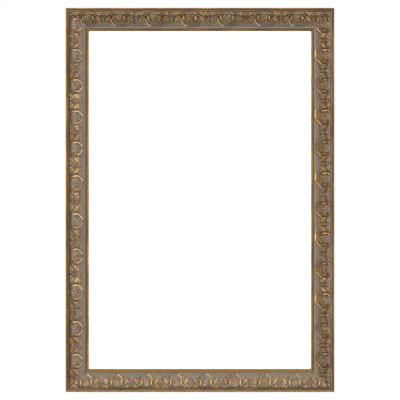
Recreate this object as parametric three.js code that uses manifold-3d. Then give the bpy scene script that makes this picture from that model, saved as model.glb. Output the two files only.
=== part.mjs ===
// An ornate wooden picture frame for a 508 x 762 mm (20 x 30 in) picture, in millimetres, +Z up.
// The front looks along -Y. The origin is on the wall plane, behind the middle of the frame.
//
// Four mitred rails carry a strip of moulded ornament each and are held at the corners by V-nails.
// Glass, a blank picture card, a filler and a backing board lie in the rebate. Turn buttons on the
// rails' rear faces hold them in, and two strap hangers with D-rings carry the frame on its wall hooks.

import * as THREE from 'three';
import { mergeVertices } from 'three/addons/utils/BufferGeometryUtils.js';
import Module from 'manifold-3d';

const wasm = await Module();
wasm.setup();

// Picture and the layers behind the lip, front to back
const PICTURE_WIDTH = 508;
const PICTURE_HEIGHT = 762;
const REBATE_OVERLAP = 9.5; // how far the lip covers the picture, each side
const PICTURE_PLAY = 1.5; // room round the picture in the rebate, each side
const GLASS_THICKNESS = 2;
const CARD_THICKNESS = 1.5;
const FILLER_THICKNESS = 3;
const BACKING_THICKNESS = 3;
const FIT_GAP = 0.3; // between parts that lie against each other

// Moulding profile: widths from the outer edge to the sight edge, and heights of its steps
const FACE_WIDTH = 50.8;
const EDGE_BEAD_WIDTH = 4.2;
const EDGE_BEAD_RISE = 1.8;
const EDGE_BEAD_ROUND = 2.4;
const CHANNEL_WIDTH = 5.2;
const CHANNEL_RISE = 8.5; // from the channel's floor up to the ridge
const SHOULDER_WIDTH = 4; // the ridge's rounded outer side
const SHOULDER_RISE = 4.2;
const SLOPE_RISE = 12.3; // from the cove up to the ridge
const COVE_WIDTH = 4.4;
const COVE_RISE = 1; // from the cove's floor up to the foot of the sight bead
const SIGHT_BEAD_WIDTH = 6.2;
const SIGHT_BEAD_STEP = 2.4; // from the cove's floor up to the bead's top
const SIGHT_BEAD_RISE = 2.6; // from the sight edge up to the bead's top
const LIP_THICKNESS = 4.4; // wood between the glass and the sight edge
const MITRE_GAP = 0.3;

// Ornament strips: where the middle of each cup stands along its rail, from the rail's middle
const STRIP_THICKNESS = 1.5;
const CUP_PLACES = {
  bottom: [-251.3, -184.2, -118.1, -53, 12.5, 77.4, 142.9, 208.6],
  left: [-385.2, -317.2, -251.7, -182, -113.7, -38.5, 46.8, 123.1, 202.9, 283.6, 354],
  top: [-213.3, -140.5, -58.9, 23.3, 101.6, 179.6, 246.9],
  right: [-351.8, -286.5, -220.5, -151.7, -86.4, -19.8, 45.5, 114.3, 183.6, 251.7, 316.6, 385.8],
};

// One motif of the relief, drawn for a strip of its own pitch and width
const MOTIF_PITCH = 66;
const MOTIF_WIDTH = 29;
const RELIEF_SINK = 0.25; // depth to which each relief form is bedded in its strip
const EGG = { across: 9.2, radius: 8, height: 2 };
const CUP = { halfWidth: 11.6, start: 1.2, straight: 10.8, depth: 14.4, band: 1.4, height: 1.9, steps: 10 };
const BEAD = { across: 3.1, radius: 2.8, height: 1.6 };
const DART = { across: 12, halfLength: 5, halfWidth: 2.2, height: 1.2 };
const WING = { along: 8.4, across: 3.9, halfLength: 5.2, halfWidth: 1.5, height: 1.2, lean: 0.42 };
const LEAF = { along: 9, across: 12.8, halfLength: 6.2, halfWidth: 2.2, height: 1.5, lean: 0.86 };

// Corner V-nails
const V_NAIL_LEG = 7;
const V_NAIL_THICKNESS = 0.6;
const V_NAIL_HEIGHT = 10;
const V_NAIL_HALF_ANGLE = THREE.MathUtils.degToRad(40);
const V_NAIL_PLACES = { outer: 14, inner: 34 }; // along the mitre from the outer corner

// Screws, turn buttons and bumpers
const SCREW_LENGTH = 13;
const SCREW_RADIUS = 1.5;
const SCREW_HEAD_RADIUS = 3.4;
const SCREW_HEAD_HEIGHT = 2;
const SCREW_TIP = 2.5;
const BUTTON_WIDTH = 11;
const BUTTON_THICKNESS = 1.5;
const BUTTON_SETBACK = 10; // pivot to rebate wall
const BUTTON_OVERLAP = 12; // tip over the backing board
const BUTTON_HOLE_GAP = 0.4;
const BUTTON_SPREAD = { level: 132, upright: 200 }; // each side of a rail's middle
const BUMPER_RADIUS = 6;
const BUMPER_THICKNESS = 6;
const BUMPER_INSET = { along: 32, across: 18 };

// Strap hangers and their D-rings
const STRAP_WIDTH = 12;
const STRAP_LENGTH = 42;
const STRAP_THICKNESS = 1;
const STRAP_SCREW_DROPS = { upper: 24.5, lower: 36 }; // below the ring's axis
const STRAP_CURL = THREE.MathUtils.degToRad(290);
const HANGER_HEIGHT = 140; // ring's axis above the frame's middle
const HANGER_ACROSS = 20; // from the outer edge
const RING_WIRE_RADIUS = 1.2;
const RING_BORE_GAP = 0.4;
const RING_SIDE_GAP = 0.5;
const RING_BEND = 1.8;
const RING_SIDE = 6;
const RING_DROP = 17;
const RING_BUTT_GAP = 0.5;

const ROUND_SEGMENTS = 10;
const CUT_MARGIN = 2; // how far a cutter runs past what it cuts

// Derived sizes
const sightWidth = PICTURE_WIDTH - 2 * REBATE_OVERLAP;
const sightHeight = PICTURE_HEIGHT - 2 * REBATE_OVERLAP;
const outerWidth = sightWidth + 2 * FACE_WIDTH;
const outerHeight = sightHeight + 2 * FACE_WIDTH;
const rebateDepth = GLASS_THICKNESS + CARD_THICKNESS + FILLER_THICKNESS + BACKING_THICKNESS + 5 * FIT_GAP;
const rebateWall = FACE_WIDTH - REBATE_OVERLAP - PICTURE_PLAY;

const lipTop = rebateDepth + LIP_THICKNESS;
const sightBeadTop = lipTop + SIGHT_BEAD_RISE;
const coveHeight = sightBeadTop - SIGHT_BEAD_STEP;
const ridgeHeight = coveHeight + SLOPE_RISE;
const channelHeight = ridgeHeight - CHANNEL_RISE;
const edgeBeadTop = channelHeight + EDGE_BEAD_RISE;
const shoulderStart = EDGE_BEAD_WIDTH + CHANNEL_WIDTH;
const shoulderFoot = ridgeHeight - SHOULDER_RISE;
const bedStart = shoulderStart + SHOULDER_WIDTH;
const sightBeadStart = FACE_WIDTH - SIGHT_BEAD_WIDTH;
const bedEnd = sightBeadStart - COVE_WIDTH;

const slopeAngle = Math.atan2(SLOPE_RISE, bedEnd - bedStart);
const slopeLength = Math.hypot(SLOPE_RISE, bedEnd - bedStart);
const bedDepth = STRIP_THICKNESS + FIT_GAP;
const stripWidth = slopeLength - 2 * FIT_GAP;

const buttonSeat = -FIT_GAP - BUTTON_THICKNESS - FIT_GAP; // under the screw head, on a turn button
const strapSeat = -FIT_GAP - STRAP_THICKNESS - FIT_GAP; // under the screw head, on a strap
const buttonPivot = rebateWall - BUTTON_SETBACK;
const buttonReach = BUTTON_SETBACK + PICTURE_PLAY + BUTTON_OVERLAP - BUTTON_WIDTH / 2;
const barrelBore = RING_WIRE_RADIUS + RING_BORE_GAP;
const barrelRadius = barrelBore + STRAP_THICKNESS;

// Finishes
const gilt = new THREE.MeshStandardMaterial({ color: 0x8f6d33, roughness: 0.45, metalness: 0.45 });
const pewterWash = new THREE.MeshStandardMaterial({ color: 0x85776a, roughness: 0.6, metalness: 0.2 });
const clearGlass = new THREE.MeshStandardMaterial({ color: 0xf4f8f7, roughness: 0.05, metalness: 0 });
clearGlass.transparent = true;
clearGlass.opacity = 0.2;
const whiteCard = new THREE.MeshStandardMaterial({ color: 0xf7f7f5, roughness: 0.9, metalness: 0 });
const cardboard = new THREE.MeshStandardMaterial({ color: 0xb3905f, roughness: 0.95, metalness: 0 });
const hardboard = new THREE.MeshStandardMaterial({ color: 0x6d4c31, roughness: 0.85, metalness: 0 });
const zincPlate = new THREE.MeshStandardMaterial({ color: 0xb9bbbd, roughness: 0.35, metalness: 0.9 });
const nailSteel = new THREE.MeshStandardMaterial({ color: 0x70757a, roughness: 0.5, metalness: 0.9 });
const felt = new THREE.MeshStandardMaterial({ color: 0x4a3f36, roughness: 1, metalness: 0 });

// A closed geometry as a manifold solid, after an optional placing matrix
function solidOf(geometry, matrix) {
  const flat = geometry.clone();
  flat.deleteAttribute('normal');
  flat.deleteAttribute('uv');
  if (matrix) flat.applyMatrix4(matrix);
  const merged = mergeVertices(flat, 1e-4);
  return new wasm.Manifold(
    new wasm.Mesh({
      numProp: 3,
      vertProperties: new Float32Array(merged.attributes.position.array),
      triVerts: new Uint32Array(merged.index.array),
    }),
  );
}

// A manifold solid as a three.js geometry
function geometryOf(solid) {
  const { vertProperties, triVerts } = solid.getMesh();
  const geometry = new THREE.BufferGeometry();
  geometry.setAttribute('position', new THREE.BufferAttribute(vertProperties, 3));
  geometry.setIndex(new THREE.BufferAttribute(triVerts, 1));
  geometry.computeVertexNormals();
  return geometry;
}

function named(name, geometry, material) {
  const mesh = new THREE.Mesh(geometry, material);
  mesh.name = name;
  return mesh;
}

// A flat outline extruded from the height `low` up to `high`
function plate(shape, low, high) {
  const options = { depth: high - low, bevelEnabled: false, curveSegments: ROUND_SEGMENTS / 2 };
  return new THREE.ExtrudeGeometry(shape, options).translate(0, 0, low);
}

// A profile drawn across a rail (x outer to inner, y rear to front), run along the rail's own x axis
function runAlong(profile, length, curveSegments) {
  const options = { depth: length, bevelEnabled: false, curveSegments };
  const across = new THREE.Vector3(0, 1, 0);
  const forward = new THREE.Vector3(0, 0, 1);
  const along = new THREE.Vector3(1, 0, 0);
  const turn = new THREE.Matrix4().makeBasis(across, forward, along);
  return new THREE.ExtrudeGeometry(profile, options).applyMatrix4(turn).translate(-length / 2, 0, 0);
}

// The point of the ornament's slope at a distance across it and a height above it
function slopePoint(across, above) {
  const u = bedStart + across * Math.cos(slopeAngle) + above * Math.sin(slopeAngle);
  const v = ridgeHeight - across * Math.sin(slopeAngle) + above * Math.cos(slopeAngle);
  return new THREE.Vector2(u, v);
}

// Rail section: gilt edge bead, channel, shoulder, bed for the ornament, cove, sight bead and rebate
function railProfile() {
  const bedOuter = slopePoint(0, -bedDepth);
  const bedInner = slopePoint(slopeLength, -bedDepth);
  const beadMiddle = EDGE_BEAD_WIDTH / 2;
  const sightMiddle = sightBeadStart + SIGHT_BEAD_WIDTH * 0.4;
  const sightFoot = coveHeight + COVE_RISE;
  const coveMiddle = (bedEnd + sightBeadStart) / 2;
  const profile = new THREE.Shape();
  profile.moveTo(0, 0);
  profile.lineTo(rebateWall, 0);
  profile.lineTo(rebateWall, rebateDepth);
  profile.lineTo(FACE_WIDTH, rebateDepth);
  profile.lineTo(FACE_WIDTH, lipTop);
  profile.quadraticCurveTo(FACE_WIDTH, sightBeadTop, sightMiddle, sightBeadTop);
  profile.quadraticCurveTo(sightBeadStart, sightBeadTop, sightBeadStart, sightFoot);
  profile.quadraticCurveTo(coveMiddle, coveHeight, bedEnd, coveHeight);
  profile.lineTo(bedInner.x, bedInner.y);
  profile.lineTo(bedOuter.x, bedOuter.y);
  profile.lineTo(bedStart, ridgeHeight);
  profile.quadraticCurveTo(shoulderStart, ridgeHeight, shoulderStart, shoulderFoot);
  profile.quadraticCurveTo(shoulderStart, channelHeight, EDGE_BEAD_WIDTH, channelHeight);
  profile.quadraticCurveTo(EDGE_BEAD_WIDTH, edgeBeadTop, beadMiddle, edgeBeadTop);
  profile.quadraticCurveTo(0, edgeBeadTop, 0, edgeBeadTop - EDGE_BEAD_ROUND);
  profile.closePath();
  return profile;
}

// Everything between a rail's two mitre cuts, seen from the front
function mitredBlock(length) {
  const trim = MITRE_GAP / Math.SQRT2;
  const half = length / 2 - trim;
  const inner = FACE_WIDTH + CUT_MARGIN;
  const outline = new THREE.Shape();
  outline.moveTo(-half - CUT_MARGIN, -CUT_MARGIN);
  outline.lineTo(half + CUT_MARGIN, -CUT_MARGIN);
  outline.lineTo(half - inner, inner);
  outline.lineTo(inner - half, inner);
  outline.closePath();
  return plate(outline, -CUT_MARGIN, ridgeHeight + STRIP_THICKNESS + 2 * CUT_MARGIN);
}

// V-nail outline with its point towards the frame's outer corner; `grow` widens it all round for the slot
function vNailOutline(grow) {
  const leg = V_NAIL_LEG + grow;
  const half = V_NAIL_THICKNESS / 2 + grow;
  const cos = Math.cos(V_NAIL_HALF_ANGLE);
  const sin = Math.sin(V_NAIL_HALF_ANGLE);
  const outline = new THREE.Shape();
  outline.moveTo(-half / sin, 0);
  outline.lineTo(leg * cos - half * sin, -leg * sin - half * cos);
  outline.lineTo(leg * cos + half * sin, -leg * sin + half * cos);
  outline.lineTo(half / sin, 0);
  outline.lineTo(leg * cos + half * sin, leg * sin - half * cos);
  outline.lineTo(leg * cos - half * sin, leg * sin + half * cos);
  outline.closePath();
  return outline;
}

// Places something on the mitre at one end of a rail: side -1 is the rail's start and +1 its end
function mitrePlace(length, side, along) {
  const angle = side < 0 ? Math.PI / 4 : (3 * Math.PI) / 4;
  const reach = along * Math.SQRT1_2;
  const place = new THREE.Matrix4().makeTranslation(side * (length / 2 - reach), reach, 0);
  return place.multiply(new THREE.Matrix4().makeRotationZ(angle));
}

function vNailSlots(length) {
  const deep = FIT_GAP + V_NAIL_HEIGHT + FIT_GAP;
  const slot = plate(vNailOutline(FIT_GAP), -CUT_MARGIN, deep);
  const places = Object.values(V_NAIL_PLACES);
  return [-1, 1].flatMap((side) => places.map((along) => solidOf(slot, mitrePlace(length, side, along))));
}

// A pilot hole for a screw, from the rear face into the wood
function pilotHole(x, y) {
  const deep = SCREW_LENGTH + FIT_GAP;
  const radius = SCREW_RADIUS + FIT_GAP;
  const hole = new THREE.CylinderGeometry(radius, radius, deep + CUT_MARGIN, ROUND_SEGMENTS);
  return solidOf(hole.rotateX(Math.PI / 2).translate(x, y, (deep - CUT_MARGIN) / 2));
}

function railGeometry(length, screwPlaces) {
  const moulding = solidOf(runAlong(railProfile(), length, 4)).intersect(solidOf(mitredBlock(length)));
  const cutters = [...vNailSlots(length), ...screwPlaces.map(([x, y]) => pilotHole(x, y))];
  return geometryOf(cutters.reduce((rail, cutter) => rail.subtract(cutter), moulding));
}

// A ridge of triangular section along a path that lies on the strip
function ridgeBand(path, halfWidth, height, steps) {
  const section = new THREE.Shape();
  section.moveTo(RELIEF_SINK, -halfWidth);
  section.lineTo(-height, 0);
  section.lineTo(RELIEF_SINK, halfWidth);
  section.closePath();
  return new THREE.ExtrudeGeometry(section, { steps, bevelEnabled: false, extrudePath: path });
}

// The U of a cup: two straight sides from the outer edge, closed by half an ellipse towards the sight edge
function cupPath({ halfWidth, start, straight, depth }) {
  const turn = start + straight;
  const path = new THREE.CurvePath();
  const halfTurns = 8;
  const points = [new THREE.Vector3(-halfWidth, start, 0)];
  for (let i = 0; i <= halfTurns; i += 1) {
    const angle = Math.PI - (Math.PI * i) / halfTurns;
    points.push(new THREE.Vector3(halfWidth * Math.cos(angle), turn + depth * Math.sin(angle), 0));
  }
  points.push(new THREE.Vector3(halfWidth, start, 0));
  points.slice(1).forEach((point, i) => path.add(new THREE.LineCurve3(points[i], point)));
  return path;
}

function cupBand(cup) {
  return ridgeBand(cupPath(cup), cup.band, cup.height, cup.steps);
}

// A pointed leaf with a ridge down its middle, lying at an angle on the strip
function leafForm({ halfLength, halfWidth, height }, x, y, angle) {
  const leaf = new THREE.ConeGeometry(1, 1, 4).rotateX(Math.PI / 2).translate(0, 0, 0.5);
  leaf.scale(halfLength, halfWidth, height + RELIEF_SINK);
  return leaf.rotateZ(angle).translate(x, y, -RELIEF_SINK);
}

// A flat-bottomed dome on the strip
function domeForm({ radius, height, across }, x, segments) {
  const outline = [new THREE.Vector2(0, 0)];
  for (const angle of [0, 0.45, 1].map((share) => (share * Math.PI) / 2)) {
    outline.push(new THREE.Vector2(radius * Math.cos(angle), (height + RELIEF_SINK) * Math.sin(angle)));
  }
  const dome = new THREE.LatheGeometry(outline, segments).rotateX(Math.PI / 2);
  return dome.translate(x, across, -RELIEF_SINK);
}

// The forms between two cups: a bead, a dart and a wing and a leaf to either side of them
function gapForms() {
  const forms = [domeForm(BEAD, 0, 5), leafForm(DART, 0, DART.across, Math.PI / 2)];
  for (const side of [-1, 1]) {
    forms.push(leafForm(WING, side * WING.along, WING.across, -side * WING.lean));
    forms.push(leafForm(LEAF, side * LEAF.along, LEAF.across, -side * LEAF.lean));
  }
  return forms;
}

// The cups' places along a rail, carried on past both ends at the pitch of the last two
function cupPlaces(side, length) {
  const places = [...CUP_PLACES[side]];
  while (places[0] > -length / 2) places.unshift(2 * places[0] - places[1]);
  while (places.at(-1) < length / 2) places.push(2 * places.at(-1) - places.at(-2));
  return places;
}

// The strip in the rail's frame: an egg in its cup at each place, leaves between, trimmed by the mitres
function ornamentGeometry(side, length) {
  const section = new THREE.Shape(
    [
      [FIT_GAP, 0],
      [FIT_GAP, -STRIP_THICKNESS],
      [slopeLength - FIT_GAP, -STRIP_THICKNESS],
      [slopeLength - FIT_GAP, 0],
    ].map(([across, above]) => slopePoint(across, above)),
  );
  const start = slopePoint(FIT_GAP, 0);
  const slope = new THREE.Matrix4().makeRotationX(-slopeAngle);
  const formsAt = (forms, x, pitch) => {
    const stretch = new THREE.Matrix4().makeScale(pitch / MOTIF_PITCH, stripWidth / MOTIF_WIDTH, 1);
    const place = new THREE.Matrix4().makeTranslation(x, start.x, start.y);
    place.multiply(slope).multiply(stretch);
    return forms.map((form) => solidOf(form, place));
  };
  const cups = [domeForm(EGG, 0, 8), cupBand(CUP)];
  const leaves = gapForms();
  const solids = [solidOf(runAlong(section, length, 1))];
  const places = cupPlaces(side, length);
  places.slice(1).forEach((place, i) => {
    const pitch = place - places[i];
    solids.push(...formsAt(cups, place, pitch));
    solids.push(...formsAt(leaves, place - pitch / 2, pitch));
  });
  return geometryOf(wasm.Manifold.union(solids).intersect(solidOf(mitredBlock(length))));
}

// A round-headed wood screw whose head's underside is at z 0, with its head towards -z
function screwGeometry() {
  const outline = [
    [0, -SCREW_LENGTH],
    [SCREW_RADIUS, SCREW_TIP - SCREW_LENGTH],
    [SCREW_RADIUS, 0],
    [SCREW_HEAD_RADIUS, 0],
    [SCREW_HEAD_RADIUS * 0.86, SCREW_HEAD_HEIGHT * 0.6],
    [SCREW_HEAD_RADIUS * 0.45, SCREW_HEAD_HEIGHT],
    [0, SCREW_HEAD_HEIGHT],
  ].map(([r, y]) => new THREE.Vector2(r, y));
  return new THREE.LatheGeometry(outline, ROUND_SEGMENTS).rotateX(-Math.PI / 2);
}

// A flat turn button with round ends, its screw hole at the origin and its tip along +y
function turnButtonGeometry() {
  const half = BUTTON_WIDTH / 2;
  const outline = new THREE.Shape();
  outline.absarc(0, buttonReach, half, 0, Math.PI);
  outline.absarc(0, 0, half, Math.PI, 2 * Math.PI);
  outline.closePath();
  const hole = new THREE.Path();
  hole.absarc(0, 0, SCREW_RADIUS + BUTTON_HOLE_GAP, 0, 2 * Math.PI);
  outline.holes.push(hole);
  return plate(outline, -FIT_GAP - BUTTON_THICKNESS, -FIT_GAP);
}

// A strap bent round the ring's bar, its rear towards +y and the bar's axis along x through the origin,
// with a round lower end
function strapGeometry() {
  const inner = -barrelRadius;
  const start = -Math.PI / 2;
  const half = STRAP_WIDTH / 2;
  const above = barrelRadius + CUT_MARGIN;
  const face = new THREE.Shape();
  face.absarc(0, half - STRAP_LENGTH, half, -Math.PI, 0);
  face.lineTo(half, above);
  face.lineTo(-half, above);
  face.closePath();
  const rounded = solidOf(plate(face, -above, above).rotateX(Math.PI / 2));
  const outline = new THREE.Shape();
  outline.moveTo(-STRAP_LENGTH, inner);
  outline.lineTo(0, inner);
  outline.absarc(0, 0, barrelRadius, start, start + STRAP_CURL, false);
  outline.absarc(0, 0, barrelBore, start + STRAP_CURL, start, true);
  outline.lineTo(-STRAP_LENGTH, inner + STRAP_THICKNESS);
  outline.closePath();
  const options = { depth: STRAP_WIDTH, bevelEnabled: false, curveSegments: ROUND_SEGMENTS / 2 };
  const up = new THREE.Vector3(0, 0, 1);
  const back = new THREE.Vector3(0, 1, 0);
  const left = new THREE.Vector3(-1, 0, 0);
  const turn = new THREE.Matrix4().makeBasis(up, back, left);
  const bent = new THREE.ExtrudeGeometry(outline, options).translate(0, 0, -STRAP_WIDTH / 2);
  const strap = solidOf(bent, turn).intersect(rounded);
  const radius = SCREW_RADIUS + FIT_GAP;
  const holeDepth = STRAP_THICKNESS + 2 * CUT_MARGIN;
  const holes = Object.values(STRAP_SCREW_DROPS).map((drop) => {
    const hole = new THREE.CylinderGeometry(radius, radius, holeDepth, ROUND_SEGMENTS);
    return solidOf(hole.translate(0, inner + STRAP_THICKNESS / 2, -drop));
  });
  return geometryOf(holes.reduce((bored, hole) => bored.subtract(hole), strap));
}

// A wire D hanging from its bar, which lies along x through the origin with its butt joint in the middle
function ringGeometry() {
  const barHalf = STRAP_WIDTH / 2 + RING_SIDE_GAP;
  const sideAt = barHalf + RING_BEND;
  const half = [
    new THREE.Vector3(RING_BUTT_GAP / 2, 0, 0),
    new THREE.Vector3(barHalf, 0, 0),
    new THREE.Vector3(sideAt, 0, -RING_BEND),
    new THREE.Vector3(sideAt, 0, -RING_SIDE),
    new THREE.Vector3(0, 0, -RING_DROP),
  ];
  const corner = new THREE.Vector3(sideAt, 0, 0);
  const shoulder = new THREE.Vector3(sideAt, 0, -RING_DROP + (RING_DROP - RING_SIDE) * 0.45);
  const waist = new THREE.Vector3(sideAt * 0.55, 0, -RING_DROP);
  const mirror = (point) => new THREE.Vector3(-point.x, point.y, point.z);
  const path = new THREE.CurvePath();
  path.add(new THREE.LineCurve3(half[0], half[1]));
  path.add(new THREE.QuadraticBezierCurve3(half[1], corner, half[2]));
  path.add(new THREE.LineCurve3(half[2], half[3]));
  path.add(new THREE.CubicBezierCurve3(half[3], shoulder, waist, half[4]));
  path.add(new THREE.CubicBezierCurve3(half[4], mirror(waist), mirror(shoulder), mirror(half[3])));
  path.add(new THREE.LineCurve3(mirror(half[3]), mirror(half[2])));
  path.add(new THREE.QuadraticBezierCurve3(mirror(half[2]), mirror(corner), mirror(half[1])));
  path.add(new THREE.LineCurve3(mirror(half[1]), mirror(half[0])));
  const section = new THREE.Shape().absarc(0, 0, RING_WIRE_RADIUS, 0, 2 * Math.PI);
  const options = { steps: 36, curveSegments: 4, bevelEnabled: false, extrudePath: path };
  return new THREE.ExtrudeGeometry(section, options);
}

function railNodes(side, length, screwPlaces) {
  return [
    named(`${side}_rail`, railGeometry(length, screwPlaces), gilt),
    named(`${side}_ornament`, ornamentGeometry(side, length), pewterWash),
  ];
}

function cornerNodes(corner, length) {
  const nail = plate(vNailOutline(0), FIT_GAP, FIT_GAP + V_NAIL_HEIGHT);
  return Object.entries(V_NAIL_PLACES).map(([place, along]) => {
    const mesh = named(`v_nail_${corner}_${place}`, nail, nailSteel);
    mesh.applyMatrix4(mitrePlace(length, -1, along));
    return mesh;
  });
}

function turnButtonNodes(side, buttonPlaces) {
  return buttonPlaces.flatMap((x, i) => {
    const button = named(`turn_button_${side}_${i + 1}`, turnButtonGeometry(), zincPlate);
    button.position.set(x, buttonPivot, 0);
    const screw = named(`turn_button_screw_${side}_${i + 1}`, screwGeometry(), zincPlate);
    screw.position.set(x, buttonPivot, buttonSeat);
    return [button, screw];
  });
}

function bumperNodes(length) {
  const pad = new THREE.CylinderGeometry(BUMPER_RADIUS, BUMPER_RADIUS, BUMPER_THICKNESS - FIT_GAP, 20);
  pad.rotateX(Math.PI / 2);
  return [-1, 1].map((side) => {
    const bumper = named(`bumper_${side < 0 ? 'left' : 'right'}`, pad, felt);
    const x = side * (length / 2 - BUMPER_INSET.along);
    bumper.position.set(x, BUMPER_INSET.across, -(BUMPER_THICKNESS + FIT_GAP) / 2);
    return bumper;
  });
}

// A rail and what is fixed to it, in a frame with x along the rail, y from its outer edge to the
// sight edge and z from its rear face to the front, turned to its side of the frame
function railGroup({ side, corner, turn, length, span, spread, hangerAt }) {
  const buttonPlaces = [-1, 1].map((way) => way * spread);
  const screwPlaces = buttonPlaces.map((x) => [x, buttonPivot]);
  if (hangerAt) {
    const drops = Object.values(STRAP_SCREW_DROPS);
    screwPlaces.push(...drops.map((drop) => [hangerAt * (HANGER_HEIGHT - drop), HANGER_ACROSS]));
  }
  const rail = new THREE.Group();
  rail.position.set(0, -BUMPER_THICKNESS, -span / 2);
  rail.rotation.x = Math.PI / 2;
  rail.add(...railNodes(side, length, screwPlaces));
  rail.add(...cornerNodes(corner, length));
  rail.add(...turnButtonNodes(side, buttonPlaces));
  if (side === 'bottom') rail.add(...bumperNodes(length));
  const placed = new THREE.Group();
  placed.rotation.y = turn;
  placed.add(rail);
  return placed;
}

// The boards in the rebate, laid one behind the other from the lip to the rails' rear plane
function rebateNodes() {
  const layers = [
    ['glass_pane', GLASS_THICKNESS, clearGlass],
    ['picture_card', CARD_THICKNESS, whiteCard],
    ['filler_board', FILLER_THICKNESS, cardboard],
    ['backing_board', BACKING_THICKNESS, hardboard],
  ];
  let front = -BUMPER_THICKNESS - rebateDepth;
  return layers.map(([name, thickness, material]) => {
    front += FIT_GAP;
    const board = named(name, new THREE.BoxGeometry(PICTURE_WIDTH, thickness, PICTURE_HEIGHT), material);
    board.position.y = front + thickness / 2;
    front += thickness;
    return board;
  });
}

// A strap hanger on a side rail: the strap, its D-ring and its two screws
function hangerGroup(side, way) {
  const hanger = new THREE.Group();
  hanger.position.set(way * (outerWidth / 2 - HANGER_ACROSS), -BUMPER_THICKNESS, HANGER_HEIGHT);
  const strap = named(`hanger_strap_${side}`, strapGeometry(), zincPlate);
  const ring = named(`hanger_ring_${side}`, ringGeometry(), zincPlate);
  strap.position.y = FIT_GAP + barrelRadius;
  ring.position.y = FIT_GAP + barrelRadius;
  hanger.add(strap, ring);
  for (const [place, drop] of Object.entries(STRAP_SCREW_DROPS)) {
    const screw = named(`hanger_screw_${side}_${place}`, screwGeometry(), zincPlate);
    screw.rotation.x = Math.PI / 2;
    screw.position.set(0, -strapSeat, -drop);
    hanger.add(screw);
  }
  return hanger;
}

const upright = { length: outerHeight, span: outerWidth, spread: BUTTON_SPREAD.upright };
const level = { length: outerWidth, span: outerHeight, spread: BUTTON_SPREAD.level };

const frame = new THREE.Group();
frame.add(
  railGroup({ side: 'bottom', corner: 'bottom_left', turn: 0, ...level }),
  railGroup({ side: 'left', corner: 'top_left', turn: Math.PI / 2, hangerAt: -1, ...upright }),
  railGroup({ side: 'top', corner: 'top_right', turn: Math.PI, ...level }),
  railGroup({ side: 'right', corner: 'bottom_right', turn: -Math.PI / 2, hangerAt: 1, ...upright }),
  ...rebateNodes(),
  hangerGroup('left', -1),
  hangerGroup('right', 1),
);

export default frame;
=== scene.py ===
"""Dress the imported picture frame: gilt moulding, egg-and-leaf ornament, glazing and rear hardware.

Sizes are in millimetres, and meshes are put down in metres in the part's own frame: +Z up, +X right, the
front towards -Y and the wall plane at Y 0. On a rail, s runs along it, u from its outer edge to the sight
edge and v from its rear face to the front.
"""

import logging
import math
from dataclasses import dataclass
from enum import Enum
from typing import Any, Callable, Sequence

import bpy
import numpy as np
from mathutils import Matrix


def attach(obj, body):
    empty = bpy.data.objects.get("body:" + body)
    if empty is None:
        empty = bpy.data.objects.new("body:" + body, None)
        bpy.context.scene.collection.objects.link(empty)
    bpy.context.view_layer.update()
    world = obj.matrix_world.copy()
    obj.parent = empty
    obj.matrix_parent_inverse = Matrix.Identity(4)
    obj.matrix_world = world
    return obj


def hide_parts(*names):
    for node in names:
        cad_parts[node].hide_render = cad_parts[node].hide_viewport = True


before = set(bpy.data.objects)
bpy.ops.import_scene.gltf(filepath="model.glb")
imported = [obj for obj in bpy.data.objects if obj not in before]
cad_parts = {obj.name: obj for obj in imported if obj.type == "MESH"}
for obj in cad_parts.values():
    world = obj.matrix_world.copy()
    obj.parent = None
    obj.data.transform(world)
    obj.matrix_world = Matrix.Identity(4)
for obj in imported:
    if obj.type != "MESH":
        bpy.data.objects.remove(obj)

LOG = logging.getLogger("picture_frame")
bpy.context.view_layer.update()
MM = 0.001
Array = np.ndarray
Pair = tuple[float, float]
Halves = tuple[float, float, float, float]
Colour = tuple[float, float, float, float]
Material = bpy.types.Material
Socket = bpy.types.NodeSocket
WHITE: Colour = (1.0, 1.0, 1.0, 1.0)
HANDS = (("left", -1), ("right", 1))
OCTAVE_SHARE = 0.55


def srgb(*picked: int) -> Colour:
    """Turn a colour picked on a screen, from 0 to 255, into the linear one that shaders use."""
    screen = np.array(picked) / 255.0
    return (*np.where(screen <= 0.04045, screen / 12.92, ((screen + 0.055) / 1.055) ** 2.4).tolist(), 1.0)


def arithmetic(kind: str) -> Callable[["Value", Any], "Value"]:
    """Make a method of Value for one kind of Math node.

    Args:
        kind: Blender's name of the operation.

    Returns:
        The method.
    """

    def method(value: "Value", other: Any) -> "Value":
        """Add the node to the value's shader and wrap its result."""
        return value.shader.value("ShaderNodeMath", {0: value, 1: other}, operation=kind)

    return method


class Value:
    """A number socket whose arithmetic adds Math nodes."""

    __add__ = __radd__ = arithmetic("ADD")
    __sub__ = arithmetic("SUBTRACT")
    __mul__ = __rmul__ = arithmetic("MULTIPLY")
    __pow__ = arithmetic("POWER")

    def __init__(self, shader: "Shader", socket: Socket) -> None:
        """Wrap a socket of a shader."""
        self.shader, self.socket = shader, socket

    def __rsub__(self, other: Any) -> "Value":
        """Difference from a number."""
        return self.shader.value("ShaderNodeMath", {0: other, 1: self}, operation="SUBTRACT")

    def step(self, low: float, high: float) -> "Value":
        """Rise smoothly from 0 at low to 1 at high."""
        sockets = {"Value": self, "From Min": low, "From Max": high}
        return self.shader.value("ShaderNodeMapRange", sockets, interpolation_type="SMOOTHSTEP")


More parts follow.
